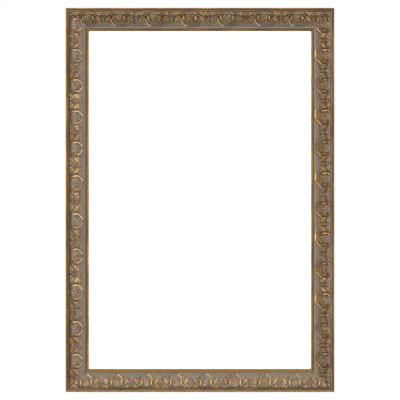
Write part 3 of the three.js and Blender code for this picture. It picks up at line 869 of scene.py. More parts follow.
@dataclass
class Relief:
    """A motif laid on a patch of the ornament's slope: its height and coats.

    Along runs from the nearest cup's middle, in the motif's own millimetres, and u from the frame's outer
    edge. Strong is true on the strong cups, and flared on those that may have a shell at their foot. Rich is
    the share of gold in the gap. Luck is the chance of each half repeat, for wear that differs from cup to
    cup. Both go from 0 to 1.
    """

    motif: Motif
    along: Array
    u: Array
    strong: Array
    flared: Array
    rich: Array
    luck: Array

    def __post_init__(self) -> None:
        """Start flat and bare, with brown patina all over, and lay every form."""
        self.height, self.gilt, self.bright = (np.zeros_like(self.along) for _ in range(3))
        self.stain = np.ones_like(self.along)
        self.x = np.abs(self.along)
        self.lay_egg()
        self.lay_cup()
        self.lay_fan()
        self.lay_gap()
        if self.motif.flare > 0:
            self.lay_shell()

    def lay(self, form: Array, gilding: Any, rub_and_highlight: Any = 0.0, stain: float = -0.2) -> None:
        """Lay a form where it stands higher than what is there.

        Args:
            form: Its height in millimetres.
            gilding: Its share of gold.
            rub_and_highlight: Its share of cream on the crest, rubbed gilding and painted highlight in one.
            stain: Its share of brown patina, where the ground has 1.
        """
        higher = form > self.height
        self.gilt = np.where(higher, gilding, self.gilt)
        self.bright = np.where(higher, rub_and_highlight, self.bright)
        self.stain = np.where(higher, stain, self.stain)
        self.height = np.maximum(form, self.height)

    def halves(self, values: Halves) -> Array:
        """Spread numbers for a strong cup before and after its middle, and for a plain one, over the cups."""
        before, after = (np.where(self.strong, values[i], values[i + 2]) for i in range(2))
        return np.where(self.along < 0, before, after)

    def dark_patch(self) -> Array:
        """Painted shadow behind the ridge, a long spot that fades as a bell curve both ways."""
        spot = np.exp(-(((self.along + 16.0) / 9.0) ** 2) - ((self.u - 9.9) / 1.4) ** 2)
        return spot * np.where(self.strong, *self.motif.ridge_shadow)

    def lay_egg(self) -> None:
        """Lay the egg, the bud on it, whose petals spread from one root, and the hood over it."""
        x, u, motif, root = self.x, self.u, self.motif, (0.8, 26.4)
        egg = dome(x, u - 20.0, (motif.cup_half - 3.7, 9.4), 2.3, 0.5)
        self.lay(egg, 0.05, 0.0, motif.egg)
        for lean, length in ((-4.2, 6.0), (-1.4, 8.4), (1.6, 8.8), (4.6, 6.4)):
            petal = leaf(self.along, u, root, (root[0] + lean, root[1] - length), 1.9, 0.6)
            self.lay(np.where(petal > 0, egg + petal, 0.0), motif.bud, 0.0, 0.2 + motif.bud)
        self.lay(dome(x, u - 11.6, (motif.cup_half - 3.4, 2.3), 2.4 * motif.hood), 0.0, 0.15, -1.5)

    def lay_cup(self) -> None:
        """Lay the cup round the egg: sheath, bar, hook, outer stroke, lower line and the rim outside it."""
        x, u, motif, half = self.x, self.u, self.motif, self.motif.cup_half
        # Bar, line and outer give each half's cream, rubbed gilding and a painted highlight in one, often
        # more on the half turned to the light.
        bar, line, outer = (self.halves(values) for values in (motif.bars, motif.lines, motif.outer))
        # The sheath inside each bar is gilt orange-brown, painted as the bar's shaded side.
        self.lay(leaf(x, u, (half - 2.7, 30.5), (half - 2.5, 15.0), 1.6, 1.8), 0.9)
        top = half - motif.cup_lean
        tall = leaf(x, u, (half - 0.3, 27.0), (top, motif.cup_top), 1.35, 3.2)
        short = leaf(x, u, (half - 0.5, 27.0), (top, motif.cup_top + 3.0), 1.4, 2.9)
        self.lay(np.where(bar > 0.6, tall, short), np.where(bar > 0.3, 0.8, 0.6), bar)
        aside = x - top + 1.8
        hook = dome(aside, u - 12.4 - 0.5 * aside, (2.6, 1.2), 2.8)
        # The hook's cream is a painted highlight, kept mostly on the half before the cup's middle.
        self.lay(hook, 0.3, motif.hook * np.where(self.along < 0, 1.0, 0.2))
        self.lay(leaf(x, u, (half + 4.3, 29.0), (half + 4.9, 18.0), 0.9, 1.8), 0.25, outer)
        foot = (x - motif.foot_gap) / 2.0
        line = line * np.clip(foot, 0, 1)
        lower = band(motif.cup_line(x, u, 0.0), 0.9, 2.1) * np.clip(foot + 1.0, 0, 1)
        self.lay(np.where(u > motif.cup_turn, lower, 0.0), 0.2 + 0.4 * line, line)
        rim = band(motif.cup_line(x, u, 4.3), 0.65, 1.4)
        self.lay(np.where(u > motif.cup_turn + 1.5, rim, 0.0), 0.3 * line, motif.double * line)

    def lay_fan(self) -> None:
        """Lay the fan of leaves at the cup's foot and the pearls over it."""
        x, u, fan = self.x, self.u, self.motif.fan
        self.lay(leaf(x, u, (0.0, 38.0), (0.0, 31.0), 1.4, 1.5), 0.7 * fan, 0.2 * fan)
        self.lay(leaf(x, u, (0.8, 38.0), (5.0, 31.0), 1.2, 1.4), 0.8 * fan, 0.3 * fan)
        for place, drop in ((0.0, 30.6), (3.8, 29.8), (7.2, 28.0)):
            self.lay(dome(x - place, u - drop, (1.8, 1.7), 1.5), 0.85 * fan, 0.5 * self.luck * fan)

    def lay_gap(self) -> None:
        """Lay what stands between two cups: bead, dart, drop, wings, dots on the ridge, and fronds."""
        u, rich, luck, motif = self.u, self.rich, self.luck, self.motif
        gap, swell = motif.pitch / 2 - self.x, 1.5 - 0.5 * rich
        self.lay(dome(gap, u - 15.0, (3.1 * swell, 2.9 * swell), 2.4), 0.05, 0.1, -0.4)
        self.lay(leaf(gap, u, (0.0, 31.0), (0.0, 17.6), 1.7, 1.3), 0.1 + 0.2 * rich)
        self.lay(dome(gap, u - 33.2, (1.4, 1.6), 1.1), 0.3)
        self.lay(leaf(gap, u, (2.6, 15.2), (19.5, 9.8), 1.9, 1.5), 0.45, 0.1)
        self.lay(leaf(gap, u, (4.2, 17.0), (14.6, 13.4), 0.8, 1.9), 0.5, 0.2 + 0.5 * rich)
        dot = motif.dot * (0.25 + 0.75 * rich)
        for place, across, half, height, gilding, rub_and_highlight in (
            (3.6, 11.8, (1.9, 1.2), 1.7, 0.4, 1.6 * luck),
            (7.8, 11.4, (1.6, 1.2), 1.7, 0.4, 1.3 - 1.2 * luck),
            (13.0, 10.8, (2.8, 1.0), 1.5, 0.3, 0.9 * luck),
        ):
            self.lay(dome(gap - place, u - across, half, height), gilding, dot * rub_and_highlight)
        gold, cream_and_highlight = 0.4 + 0.5 * rich, motif.spark * (0.25 + 0.7 * rich) * (0.7 + 0.6 * luck)
        self.lay(dome(gap - 9.6, u - 26.0, (4.4, 4.2), 0.9), 0.55 * gold)
        for base, tip, half, height, gilding, rub_and_highlight in (
            ((14.6, 18.4), (5.4, 30.4), 1.4, 2.2, 1.0, 1.0),
            ((14.8, 20.6), (9.2, 33.0), 1.1, 1.9, 1.0, 0.6),
            ((15.0, 23.0), (13.2, 33.0), 0.9, 1.6, 0.6, 0.5),
            ((13.6, 17.4), (5.0, 22.4), 1.0, 1.6, 0.8, 0.6),
        ):
            self.lay(leaf(gap, u, base, tip, half, height), gilding * gold, rub_and_highlight * cream_and_highlight)

    def lay_shell(self) -> None:
        """Lay the shell at the foot of each flared cup, on a low base."""
        base = dome(self.along + 3.0, self.u - 38.4, (10.5, 2.4), 0.9, 1.0)
        self.lay(np.where(self.flared, base, 0.0), 0.7)
        shell = dome(self.along + 4.4, self.u - 41.6, (11.8, 3.0), 1.6, 0.8)
        self.lay(np.where(self.flared, shell, 0.0), 0.8, 1.1 * self.motif.flare * shell)


def soften(values: Array, reach: int) -> Array:
    """Average each value with its neighbours in a square, twice over.

    Args:
        values: A grid of numbers.
        reach: Grid steps from the middle of the square to its side.

    Returns:
        The averaged grid.
    """
    size = 2 * reach + 1
    for axis in (0, 1, 0, 1):
        padding = [(0, 0), (0, 0)]
        padding[axis] = (reach + 1, reach)
        total = np.cumsum(np.pad(values, padding, mode="edge"), axis=axis)
        ends = np.take(total, range(size, total.shape[axis]), axis=axis)
        values = (ends - np.take(total, range(total.shape[axis] - size), axis=axis)) / size
    return values


@dataclass(frozen=True)
class Ornament:
    """A strip of relief on a rail's slope, from the channel's wall over the ridge to the cove.

    The chance is the factor and the step of a sine whose far digits are luck.
    """

    side: Side
    style: "SideStyle"
    sizes: Sizes
    profile: Profile
    grid: float = 0.58
    skin: float = 0.12
    edge_fade: float = 0.8
    bed_clear: float = 0.2
    shoulder_clear: float = 0.6
    egg_clear: float = 1.5
    curve_samples: int = 12
    cove_samples: int = 10
    wide_reach: int = 5
    near_reach: int = 2
    chance: Pair = (43758.5453, 12.9898)
    crease: float = 180.0

    def bed(self) -> tuple[Array, Array]:
        """Sample the strip's resting curve at even steps, with its outward normals.

        Returns:
            Points and normals in u and v.
        """
        curves = (self.profile.shoulder_curve, self.profile.cove_curve)
        shoulder, cove = (curve(self.curve_samples)[::-1] for curve in curves)
        line = np.concatenate((shoulder[1:], cove[: self.cove_samples]))
        reach = np.concatenate([[0], np.cumsum(np.hypot(*np.diff(line, axis=0).T))])
        at = np.linspace(0, reach[-1], int(reach[-1] / self.grid))
        points = np.stack([np.interp(at, reach, line[:, i]) for i in range(2)], axis=-1)
        run = np.gradient(points, axis=0)
        normals = np.stack((-run[:, 1], run[:, 0]), axis=-1)
        normals /= np.linalg.norm(normals, axis=1, keepdims=True)
        return points + self.skin * normals, normals

    def repeat(self, s: Array) -> Array:
        """Count repeats along the rail, whole at each cup's middle.

        Args:
            s: Places along the rail.

        Returns:
            The count at each place, by straight lines between the cups and on past the ends.
        """
        cups = np.array(self.style.cups)
        ends = (cups[0] - 2 * (cups[1] - cups[0]), cups[-1] + 2 * (cups[-1] - cups[-2]))
        places = np.concatenate((ends[:1], cups, ends[1:]))
        counts = np.concatenate(([-2], np.arange(len(cups)), [len(cups) + 1]))
        return np.interp(s, places, counts)

    def relief(self, s: Array, u: Array) -> Relief:
        """Lay the motif over the strip.

        Args:
            s: Places along the rail.
            u: Places across it.

        Returns:
            The relief.
        """
        turn, style, motif = self.repeat(s), self.style, self.style.motif
        count = np.round(turn)
        along = (turn - count) * motif.pitch * (-1 if style.mirrored else 1)
        strong = np.isin(count, style.strong)
        owner = np.floor(turn) if style.mirrored else np.ceil(turn)
        rich = np.where(np.isin(owner, style.strong), 1.0, motif.poor)
        factor, step = self.chance
        luck = np.mod(factor * np.sin(step * np.floor(2 * turn) + self.sizes.length(self.side)), 1.0)
        return Relief(motif, along, u, strong, strong & (count > 0), rich, luck)

    def marks(self, work: Relief, edge: Array) -> dict[str, Array]:
        """Say how far each coat shows: cream and painted highlight where a place stands out of the mean round
        it, painted shade where sunk.

        Args:
            work: The relief.
            edge: Share of it that is left towards the strip's edges.

        Returns:
            The attributes gilt, bright, hollow, stain and across.
        """
        height, u, luck = work.height, work.u, work.luck
        wide, near = soften(height, self.wide_reach), soften(height, self.near_reach)
        # Painted shade: dark where the relief sinks below the mean round it, scaled by ring on the egg and
        # eased towards the cup's foot, with the painted shadow behind the ridge added.
        deep = 0.7 * np.clip((near - height) / 0.4, 0, 1) + 0.5 * np.clip((wide - height) / 0.8, 0, 1)
        deep = deep * np.where(work.x < work.motif.cup_half - self.egg_clear, work.motif.ring, 1.0)
        dark = deep * edge * np.interp(u, (25, 30), (1, 0.55)) + work.dark_patch()
        return {
            "gilt": work.gilt * edge * (0.8 + 0.4 * luck),
            "bright": work.bright * edge * np.clip((height - wide) / 0.8, 0, 1) * (0.7 + 0.5 * luck),
            "hollow": np.clip(dark, 0, 1),
            "stain": np.interp(u, (29, 36), (1, 0)) * work.stain,
            "across": u,
        }

    def mesh(self) -> Mesh:
        """Raise the relief along the bed's normals and close it underneath with a flat bottom.

        Returns:
            The closed mesh.
        """
        bed, normals = self.bed()
        half = self.sizes.half(self.side, bed[None, :, 0])
        rows = int(2 * half.max() / self.grid)
        share = np.linspace(-1.0, 1.0, rows)[:, None]
        s = share * half
        u = np.broadcast_to(bed[:, 0], s.shape)
        work = self.relief(s, u)
        edge = np.clip(np.minimum(u - bed[0, 0], bed[-1, 0] - u) / self.edge_fade, 0, 1)
        work.height = work.height * edge
        profile = self.profile
        low = profile.bed_depth - self.bed_clear
        ends = (profile.bed_end, profile.cove - low), (profile.bed_start, profile.ridge - low)
        under = np.array((*ends, (profile.shoulder_start + self.shoulder_clear, profile.shoulder_foot)))
        top = bed + work.height[..., None] * normals
        ring = np.concatenate((top, np.broadcast_to(under, (rows, *under.shape))), axis=1)
        ring_u, ring_v = ring[..., 0], ring[..., 1]
        points = self.sizes.place(self.side, share * self.sizes.half(self.side, ring_u), ring_u, ring_v)
        blank = np.zeros((rows, len(under)))
        marks = self.marks(work, edge)
        return tube(points, {key: np.concatenate((values, blank), axis=1) for key, values in marks.items()})

    def build(self) -> None:
        """Make and dress the strip in place of its solid."""
        label, finish = self.side.label, self.style.wash.material()
        nodes = [f"{label}_ornament"]
        add_piece(f"{label}_relief", self.mesh(), finish, nodes, self.crease)


@dataclass(frozen=True)
class WoodScrew:
    """A round-headed screw with a cross recess, head towards +Y."""

    head: float = 3.4
    height: float = 2.0
    fullness: float = 0.55
    shank: float = 1.5
    length: float = 13.0
    tip: float = 2.5
    tip_radius: float = 0.1
    recess: float = 1.1
    slot: float = 0.45
    slot_wall: float = 0.12
    arm: float = 1.9
    arm_wall: float = 0.5
    eye: float = 0.05
    rings: int = 36
    around: int = 72
    crease: float = 40.0

    def mesh(self, seat: Array) -> Mesh:
        """Turn the screw's outline about Y, sinking a cross into the dome.

        The dome is the height times a root of what is left of 1 after the squared share of the head's
        radius, less the recess inside either arm of the cross.

        Args:
            seat: Middle of the head's underside, in metres.

        Returns:
            The closed mesh.
        """
        angle = circle(self.around)
        r = np.linspace(self.eye, self.head, self.rings)[:, None]
        crown = self.height * np.clip(1 - (r / self.head) ** 2, 0, 1) ** self.fullness
        x, z = np.abs(r * np.cos(angle)), np.abs(r * np.sin(angle))
        in_slot = np.clip((self.slot - np.minimum(x, z)) / self.slot_wall, 0, 1)
        in_arm = np.clip((self.arm - np.maximum(x, z)) / self.arm_wall, 0, 1)
        shank_r = np.array([self.head, self.shank, self.shank, self.tip_radius])[:, None]
        shank_y = np.array([0.0, 0.0, self.tip - self.length, -self.length])[:, None]
        below = np.broadcast_to(shank_y, (len(shank_y), self.around))
        y = np.concatenate((crown - self.recess * (in_slot * in_arm), below))
        return lathe(np.concatenate((r, shank_r)), y, angle, seat)


@dataclass(frozen=True)
class TurnButton:
    """A stamped plate with round ends that turns on its screw."""

    width: float = 11.0
    reach: float = 18.0
    thickness: float = 1.5
    bevel: float = 0.35
    setback: float = 10.0
    hole: float = 1.9
    sunk: float = 0.25
    dish: tuple[float, float, float] = (0.5, 0.62, 0.7)
    dish_rise: float = 0.05
    around: int = 96
    crease: float = 25.0

    def mesh(self, pivot: Array, toward: Array) -> Mesh:
        """Run rings from the screw hole over the sunk middle and bevelled rim, and back underneath.

        A ring is a circle at the tip and one at the pivot, joined by straight sides. The hole's rings have
        both circles at the pivot, and the last ring joins the first down the hole's wall.

        Args:
            pivot: Hole's middle on the plate's front face, in metres.
            toward: Unit vector from the pivot to the tip.

        Returns:
            The closed mesh.
        """
        half, t, k = self.width / 2, self.thickness, self.bevel
        low = t - self.sunk
        floor, wall, brim = (share * half for share in self.dish)
        dished = [(self.hole, low), (floor, low), (wall, low + self.dish_rise), (brim, t)]
        rings = dished + [(half - k, t), (half, t - k), (half, k), (half - k, 0.0), (self.hole, 0.0)]
        angle = circle(self.around)
        radius, back = np.array(rings).T[..., None]
        spine = np.where((np.sin(angle) > 0) & (radius > self.hole), self.reach, 0.0)
        side, ahead = radius * np.cos(angle), spine + radius * np.sin(angle)
        rear = np.array((0.0, 1.0, 0.0))
        flat = side[..., None] * np.cross(toward, rear) + ahead[..., None] * toward
        points = (flat + np.broadcast_to(back, side.shape)[..., None] * rear) * MM + pivot
        return Mesh(points.reshape(-1, 3), ring_quads(len(rings) + 1, angle.size) % side.size)


@dataclass(frozen=True)
class StrapHanger:
    """A steel strap bent round the bar of a D-ring, ring's axis along X."""

    width: float = 12.0
    length: float = 42.0
    thickness: float = 1.0
    bevel: float = 0.18
    tip: float = 0.05
    step: float = 2.0
    bore: float = 1.6
    curl: float = math.radians(290)
    wire: float = 1.2
    bend: float = 1.8
    side_gap: float = 0.5
    ring_side: float = 6.0
    ring_drop: float = 17.0
    ring_pull: Pair = (0.45, 0.55)
    butt: float = 0.5
    strap_crease: float = 40.0
    ring_crease: float = 50.0

    def strap(self, axis: Array) -> Mesh:
        """Carry a bevelled flat section along the strap and round its curl.

        The middle line runs up the rail to the bar's height and then round the bar. The half width follows
        a circle at the lower end.

        Args:
            axis: Middle of the bar, in metres.

        Returns:
            The closed mesh.
        """
        middle, straight = self.bore + self.thickness / 2, self.length - self.width / 2
        rounded = np.geomspace(self.length - self.tip, straight, 14)
        down = np.concatenate((rounded, np.linspace(straight - self.step, 0, 12)))
        turn = np.linspace(0, self.curl, 40)[1:] - math.pi / 2
        z = np.concatenate((-down, middle * np.cos(turn)))
        y = np.concatenate((np.full(down.shape, -middle), middle * np.sin(turn)))
        slope = np.concatenate((np.full(down.shape, -math.pi / 2), turn))[:, None]
        end = np.clip(self.length + z, self.tip, self.width / 2)
        half = np.where(y == -middle, np.sqrt(self.width * end - end**2), self.width / 2)[:, None]
        t, k = self.thickness / 2, self.bevel
        way = np.array((1, 1, 1, -1, -1, -1, -1, 1))
        inset = np.array((0, 0, k, k, 0, 0, k, k))
        lift = np.array((t - k, k - t, -t, -t, k - t, t - k, t, t))
        rings = (way * (half - inset), y[:, None] - np.sin(slope) * lift, z[:, None] - np.cos(slope) * lift)
        return tube(np.stack(rings, axis=-1) * MM + axis)

    def ring(self, axis: Array) -> Mesh:
        """Carry a round wire section along the ring's path from its butt joint round the D and back.

        The bow is a cubic curve from the end of the straight side to the lowest point.

        Args:
            axis: Middle of the bar, in metres.

        Returns:
            The closed mesh.
        """
        bar = self.width / 2 + self.side_gap
        out, low = bar + self.bend, -self.ring_drop
        pull = low + self.ring_pull[0] * (self.ring_drop - self.ring_side)
        corners = ((out, -self.ring_side), (out, pull), (self.ring_pull[1] * out, low), (0.0, low))
        a, b, c, d = (np.array(corner) for corner in corners)
        share = np.linspace(0, 1, 40)[:, None]
        left = 1 - share
        bow = left**3 * a + 3 * share * left**2 * b + 3 * share**2 * left * c + share**3 * d
        straight = np.linspace((self.butt / 2, 0.0), (bar, 0.0), 8, endpoint=False)
        corner = blend_curve((bar, 0), (out, 0), (out, -self.bend), 12)
        side = np.linspace((out, -self.bend), (out, -self.ring_side), 6, endpoint=False)
        half = np.concatenate((straight, corner, side, bow))
        path = np.concatenate((half, (half * (-1, 1))[-2::-1]))
        angle = circle(18)
        return sweep(path, self.wire * np.cos(angle), self.wire * np.sin(angle), axis)


@dataclass(frozen=True)
class VNail:
    """A strip of steel bent to a V and driven across a mitre until its rear edge is just above the wood."""

    leg: float = 7.0
    thickness: float = 0.6
    height: float = 10.4
    half_angle: float = math.radians(40)
    bend: float = 1.3
    edge: float = 0.12
    sharpened: float = 1.5
    crease: float = 30.0

    def mesh(self, point: Array, inward: Array, rear: float) -> Mesh:
        """Carry a strip's section, sharpened at the front, along one leg, round the bend and back.

        Args:
            point: Point of the V in x and z.
            inward: Unit vector in x and z from the frame's corner along the mitre.
            rear: The rear edge's y.

        Returns:
            The closed mesh.
        """
        aside = math.sin(self.half_angle) * np.array((-inward[1], inward[0]))
        legs = [math.cos(self.half_angle) * inward + way * aside for way in (1, -1)]
        ends, bends = ([point + reach * leg for leg in legs] for reach in (self.leg, self.bend))
        first = np.linspace(ends[0], bends[0], 8, endpoint=False)
        turn = blend_curve(bends[0], point, bends[1], 12)
        path = np.concatenate((first, turn, np.linspace(bends[1], ends[1], 9)[1:]))
        half, low, k = self.thickness / 2, self.height - self.sharpened, self.edge
        off = np.array((half - k, half, half, 0, -half, -half, k - half))
        return sweep(path, off, rear - np.array((0, k, low, self.height, low, k, 0)))


@dataclass(frozen=True)
class Bumper:
    """A round felt pad with a soft rim."""

    radius: float = 6.0
    thickness: float = 5.7
    soft: float = 0.9
    inner: float = 3.0
    eye: float = 0.3
    crease: float = 50.0

    def mesh(self, middle: Array) -> Mesh:
        """Turn the pad's outline about Y: flat faces joined by quarter rounds.

        Args:
            middle: Middle of the rear face, in metres.

        Returns:
            The closed mesh.
        """
        turn = np.linspace(0, np.pi / 2, 7)
        rim = self.radius - self.soft * (1 - np.sin(turn))
        r = np.concatenate(([self.eye, self.inner], rim, [self.radius, self.eye]))[:, None]
        rear = np.concatenate(([0, 0], self.soft * (1 - np.cos(turn)), [self.thickness] * 2))[:, None]
        return lathe(r, -rear, circle(48), middle)


@dataclass(frozen=True)
class Hardware:
    """Everything on the rear: turn buttons, hangers, their screws, V-nails and bumpers."""

    sizes: Sizes
    button: TurnButton = TurnButton()
    screw: WoodScrew = WoodScrew()
    hanger: StrapHanger = StrapHanger()
    nail: VNail = VNail()
    bumper: Bumper = Bumper()
    rebate_wall: float = Profile.rebate_wall
    spread_level: float = 132.0
    spread_upright: float = 200.0
    hanger_height: float = 140.0
    hanger_across: float = 20.0
    screw_drops: tuple[tuple[str, float], ...] = (("upper", 24.5), ("lower", 36.0))
    nail_places: tuple[tuple[str, float], ...] = (("outer", 14.0), ("inner", 34.0))
    nail_proud: float = 0.1
    bumper_along: float = 32.0
    bumper_across: float = 18.0

    def add_screw(self, name: str, seat: Array, plate: Material, node: str) -> None:
        """Make one screw in place of its solid."""
        add_piece(name, self.screw.mesh(seat), plate, [node], self.screw.crease)

    def turn_buttons(self, plate: Material) -> None:
        """Make the turn buttons and their screws, two to a rail.

        Args:
            plate: The zinc finish.
        """
        gap, across = self.sizes.fit_gap, self.rebate_wall - self.button.setback
        for side in Side:
            spread = self.spread_upright if side.upright else self.spread_level
            inward = self.sizes.place(side, 0.0, 1.0, 0.0) - self.sizes.place(side, 0.0, 0.0, 0.0)
            for number, s in ((1, -spread), (2, spread)):
                name = f"{side.label}_{number}"
                body = f"turn_button_{name}"
                pivot = self.sizes.place(side, s, across, -gap)
                mesh = self.button.mesh(pivot, inward / np.linalg.norm(inward))
                crease = self.button.crease
                add_piece(f"button_plate_{name}", mesh, plate, [body], crease, body)
                seat = self.sizes.place(side, s, across, -2 * gap - self.button.thickness)
                self.add_screw(f"button_screw_{name}", seat, plate, f"turn_button_screw_{name}")

    def hangers(self, plate: Material) -> None:
        """Make the straps, their D-rings and their screws.

        Args:
            plate: The zinc finish.
        """
        gap, hanger = self.sizes.fit_gap, self.hanger
        lift = gap + hanger.bore + hanger.thickness
        behind = 2 * gap + hanger.thickness - self.sizes.pad
        for label, way in HANDS:
            x = way * (self.sizes.length(Side.BOTTOM) / 2 - self.hanger_across)
            axis = np.array((x, lift - self.sizes.pad, self.hanger_height)) * MM
            strap, ring = f"hanger_strap_{label}", f"hanger_ring_{label}"
            add_piece(f"strap_{label}", hanger.strap(axis), plate, [strap], hanger.strap_crease)
            crease = hanger.ring_crease
            add_piece(f"ring_{label}", hanger.ring(axis), plate, [ring], crease, ring)
            for place, drop in self.screw_drops:
                seat = np.array((x, behind, self.hanger_height - drop)) * MM
                name = f"screw_{label}_{place}"
                self.add_screw(f"strap_{name}", seat, plate, f"hanger_{name}")

    def nails(self, steel: Material) -> None:
        """Make the V-nails, two to a mitre with their points to the corner.

        Args:
            steel: The nails' finish.
        """
        half = np.array((self.sizes.length(Side.BOTTOM), self.sizes.length(Side.LEFT))) / 2
        corners = {"bottom_left": (-1, -1), "top_left": (-1, 1), "top_right": (1, 1), "bottom_right": (1, -1)}
        for label, way in corners.items():
            inward = -np.array(way) / math.sqrt(2)
            for place, along in self.nail_places:
                mesh = self.nail.mesh(half * way + along * inward, inward, self.nail_proud - self.sizes.pad)
                name = f"nail_{label}_{place}"
                add_piece(f"corner_{name}", mesh, steel, [f"v_{name}"], self.nail.crease)

    def bumpers(self, felt: Material) -> None:
        """Make the felt bumpers.

        Args:
            felt: Their finish.
        """
        for label, way in HANDS:
            s = way * (self.sizes.length(Side.BOTTOM) / 2 - self.bumper_along)
            mesh = self.bumper.mesh(self.sizes.place(Side.BOTTOM, s, self.bumper_across, -self.sizes.pad))
            add_piece(f"felt_pad_{label}", mesh, felt, [f"bumper_{label}"], self.bumper.crease)

    def build(self) -> None:
        """Make and dress it all."""
        plate = MetalFinish("zinc_plate", srgb(176, 179, 183), srgb(132, 132, 128), 0.32).material()
        steel = MetalFinish("nail_steel", srgb(128, 132, 138), srgb(92, 84, 78), 0.38).material()
        felt = BoardFinish("felt", srgb(78, 66, 56), srgb(58, 48, 41), 1.4, 0.5, 1.0).material()
        self.turn_buttons(plate)
        self.hangers(plate)
        self.nails(steel)
        self.bumpers(felt)


@dataclass(frozen=True)
class Boards:
    """The layers in the rebate, which keep their solids."""

    glass: GlassFinish = GlassFinish()
    card: BoardFinish = BoardFinish(
        "white_card", srgb(250, 250, 248), srgb(247, 247, 245), patch=30.0, tooth=0.02, roughness=0.92
    )
    filler: BoardFinish = BoardFinish(
        "filler_card", srgb(186, 152, 104), srgb(170, 134, 88), patch=6.0, tooth=0.08, roughness=0.95
    )
    backing: BoardFinish = BoardFinish(
        "hardboard", srgb(124, 90, 60), srgb(98, 68, 44), patch=12.0, tooth=0.06, roughness=0.72
    )

    def build(self) -> None:
        """Give the glass, the card, the filler and the backing board their finishes."""
        layers = (self.glass, self.card, self.filler, self.backing)
        for node, layer in zip(("glass_pane", "picture_card", "filler_board", "backing_board"), layers):
            finish, data = layer.material(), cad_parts[node].data
            data.materials.clear()
            data.materials.append(finish)
            LOG.info("%s: dressed with %s", node, finish.name)


@dataclass(frozen=True)
class SideStyle:
    """What sets one side apart.

    The cups are their middles' places along the rail, and strong gives the numbers of the strong ones, which
    have a rich gap before them. Bead and sight are the gilding on the edge bead and the sight edge, set per
    side with painted light and shade in it.
    """

    cups: tuple[float, ...]
    motif: Motif
    wash: OrnamentFinish
    coat: MouldingFinish
    bead: Pair
    sight: Pair
    strong: tuple[int, ...] = (0, 2, 4, 6, 8, 10)
    mirrored: bool = False


# Each moulding finish is a lit or shaded copy of one finish: the channel is painted lighter on the right rail
# and darker on the left, as the light from the right falls on it, and the low gilding on the bottom rail's
# lip lets its pale ground show as a painted highlight.
STYLES = {
    Side.BOTTOM: SideStyle(
        (-251.3, -184.2, -118.1, -53.0, 12.5, 77.4, 142.9, 208.6),
        BOTTOM_MOTIF,
        BOTTOM_WASH_AS_LIT,
        MouldingFinish(
            "moulding_bottom", Run.LEVEL, srgb(136, 110, 92), srgb(104, 78, 58), srgb(122, 114, 107),
            gold=srgb(76, 43, 7), bright_gold=srgb(112, 70, 18), ground=srgb(172, 138, 66),
            dark_ground=srgb(130, 100, 46),
        ),
        bead=(0.2, 0.2),
        sight=(0.1, 1.0),
    ),
    Side.LEFT: SideStyle(
        (-385.2, -317.2, -251.7, -182.0, -113.7, -38.5, 46.8, 123.1, 202.9, 283.6, 354.0),
        LEFT_MOTIF,
        LEFT_WASH_AS_LIT,
        MouldingFinish("moulding_left", Run.UPRIGHT, srgb(120, 94, 78), srgb(92, 68, 50), srgb(114, 101, 90)),
        bead=(0.5, 1.0),
        sight=(0.72, 0.72),
        strong=(1, 3, 5, 6, 8),
    ),
    Side.TOP: SideStyle(
        (-213.3, -140.5, -58.9, 23.3, 101.6, 179.6, 246.9),
        TOP_MOTIF,
        TOP_WASH_AS_LIT,
        MouldingFinish("moulding_top", Run.LEVEL, srgb(136, 110, 92), srgb(100, 74, 56), srgb(150, 142, 137)),
        bead=(0.2, 1.0),
        sight=(1.0, 0.5),
    ),
    Side.RIGHT: SideStyle(
        (-351.8, -286.5, -220.5, -151.7, -86.4, -19.8, 45.5, 114.3, 183.6, 251.7, 316.6, 385.8),
        RIGHT_MOTIF,
        RIGHT_WASH_AS_LIT,
        MouldingFinish(
            "moulding_right", Run.UPRIGHT, srgb(152, 128, 110), srgb(116, 88, 62), srgb(138, 122, 106)
        ),
        bead=(0.12, 1.0),
        sight=(0.8, 0.66),
        mirrored=True,
    ),
}


@dataclass(frozen=True)
class Moulding:
    """The four rails and their ornament."""

    sizes: Sizes
    profile: Profile = Profile()

    def build(self) -> None:
        """Make the rails and their strips."""
        for side, style in STYLES.items():
            Rail(side, style, self.sizes, self.profile).build()
            Ornament(side, style, self.sizes, self.profile).build()


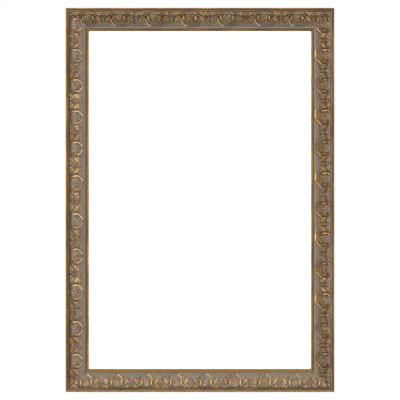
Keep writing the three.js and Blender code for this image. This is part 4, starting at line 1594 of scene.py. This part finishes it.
@dataclass(frozen=True)
class Studio:
    """Camera, soft lamps, white surroundings and a pale floor.

    Each lamp has its name, the direction to it, its strength, where pi shows a white surface that faces it
    as white, and the angle across it in degrees.
    """

    field_m: float = 0.8794
    lens: float = 300.0
    sensor: float = 36.0
    front_m: float = 0.025
    clip_m: float = 100.0
    floor_m: float = -0.95
    floor_reach_m: float = 10.0
    floor_glow: float = 0.68
    floor_matt: float = 0.6
    ambient: float = 0.22
    lamps: tuple[tuple[str, tuple[float, float, float], float, float], ...] = (
        ("key", (0.3, -0.9, 0.24), 0.95, 26.0),
        ("front_fill", (-0.03, -1.0, 0.05), 1.55, 16.0),
        ("rear_fill", (-0.4, 0.8, 0.6), 1.2, 100.0),
    )

    def camera(self) -> None:
        """Look straight at the front from as far as the lens needs to show the photograph's width."""
        data = bpy.data.cameras.new("camera")
        data.lens, data.sensor_width, data.clip_end = self.lens, self.sensor, self.clip_m
        camera = link("camera", data)
        camera.location = (0.0, -self.field_m * self.lens / self.sensor - self.front_m, 0.0)
        camera.rotation_euler = (math.pi / 2, 0.0, 0.0)
        bpy.context.scene.camera = camera

    def light(self) -> None:
        """Add the lamps, all of them far and broad."""
        for name, (x, y, z), strength, spread in self.lamps:
            data = bpy.data.lights.new(name, "SUN")
            data.energy, data.angle = strength, math.radians(spread)
            link(name, data).rotation_euler = (math.atan2(math.hypot(x, y), z), 0.0, math.atan2(x, -y))

    def seen(self, tree: bpy.types.NodeTree) -> Socket:
        """Find the rays that show the background: camera, gloss and glass.

        Args:
            tree: The node tree to add to.

        Returns:
            A socket that is 1 for those rays.
        """
        path = tree.nodes.new("ShaderNodeLightPath")
        shown = path.outputs["Is Camera Ray"]
        for kind in ("Is Glossy Ray", "Is Transmission Ray"):
            larger = tree.nodes.new("ShaderNodeMath")
            larger.operation = "MAXIMUM"
            tree.links.new(shown, larger.inputs[0])
            tree.links.new(path.outputs[kind], larger.inputs[1])
            shown = larger.outputs[0]
        return shown

    def surroundings(self) -> None:
        """White where they show, dimmer where they only give light."""
        world = bpy.data.worlds.new("white_room")
        world.use_nodes = True
        tree = world.node_tree
        back = tree.nodes["Background"]
        back.inputs["Color"].default_value = WHITE
        level = tree.nodes.new("ShaderNodeMapRange")
        level.inputs["To Min"].default_value = self.ambient
        tree.links.new(self.seen(tree), level.inputs["Value"])
        tree.links.new(level.outputs[0], back.inputs["Strength"])
        bpy.context.scene.world = world

    def floor(self) -> None:
        """A pale floor well below the frame that shows white but for shadow."""
        data = bpy.data.meshes.new("floor")
        reach = self.floor_reach_m
        corners = [(-reach, -reach), (reach, -reach), (reach, reach), (-reach, reach)]
        data.from_pydata([(x, y, self.floor_m) for x, y in corners], [], [(0, 1, 2, 3)])
        shader = Shader("pale_floor")
        bright, pale = ((level, level, level, 1.0) for level in (self.floor_glow, self.floor_matt))
        glow = shader.node("ShaderNodeEmission", {"Color": bright, "Strength": self.seen(shader.tree)})
        matt = shader.node("ShaderNodeBsdfDiffuse", {"Color": pale})
        both = shader.node("ShaderNodeAddShader", {0: glow.outputs[0], 1: matt.outputs[0]})
        data.materials.append(shader.close(both))
        floor = link("floor", data)

    def build(self) -> None:
        """Set it all up."""
        self.camera()
        self.light()
        self.surroundings()
        self.floor()
        bpy.context.scene.view_settings.view_transform = "Standard"


def main() -> None:
    logging.basicConfig(level=logging.INFO, format="%(message)s")
    sizes = Sizes()
    Studio().build()
    Moulding(sizes).build()
    Boards().build()
    Hardware(sizes).build()


if __name__ == "__main__":
    main()
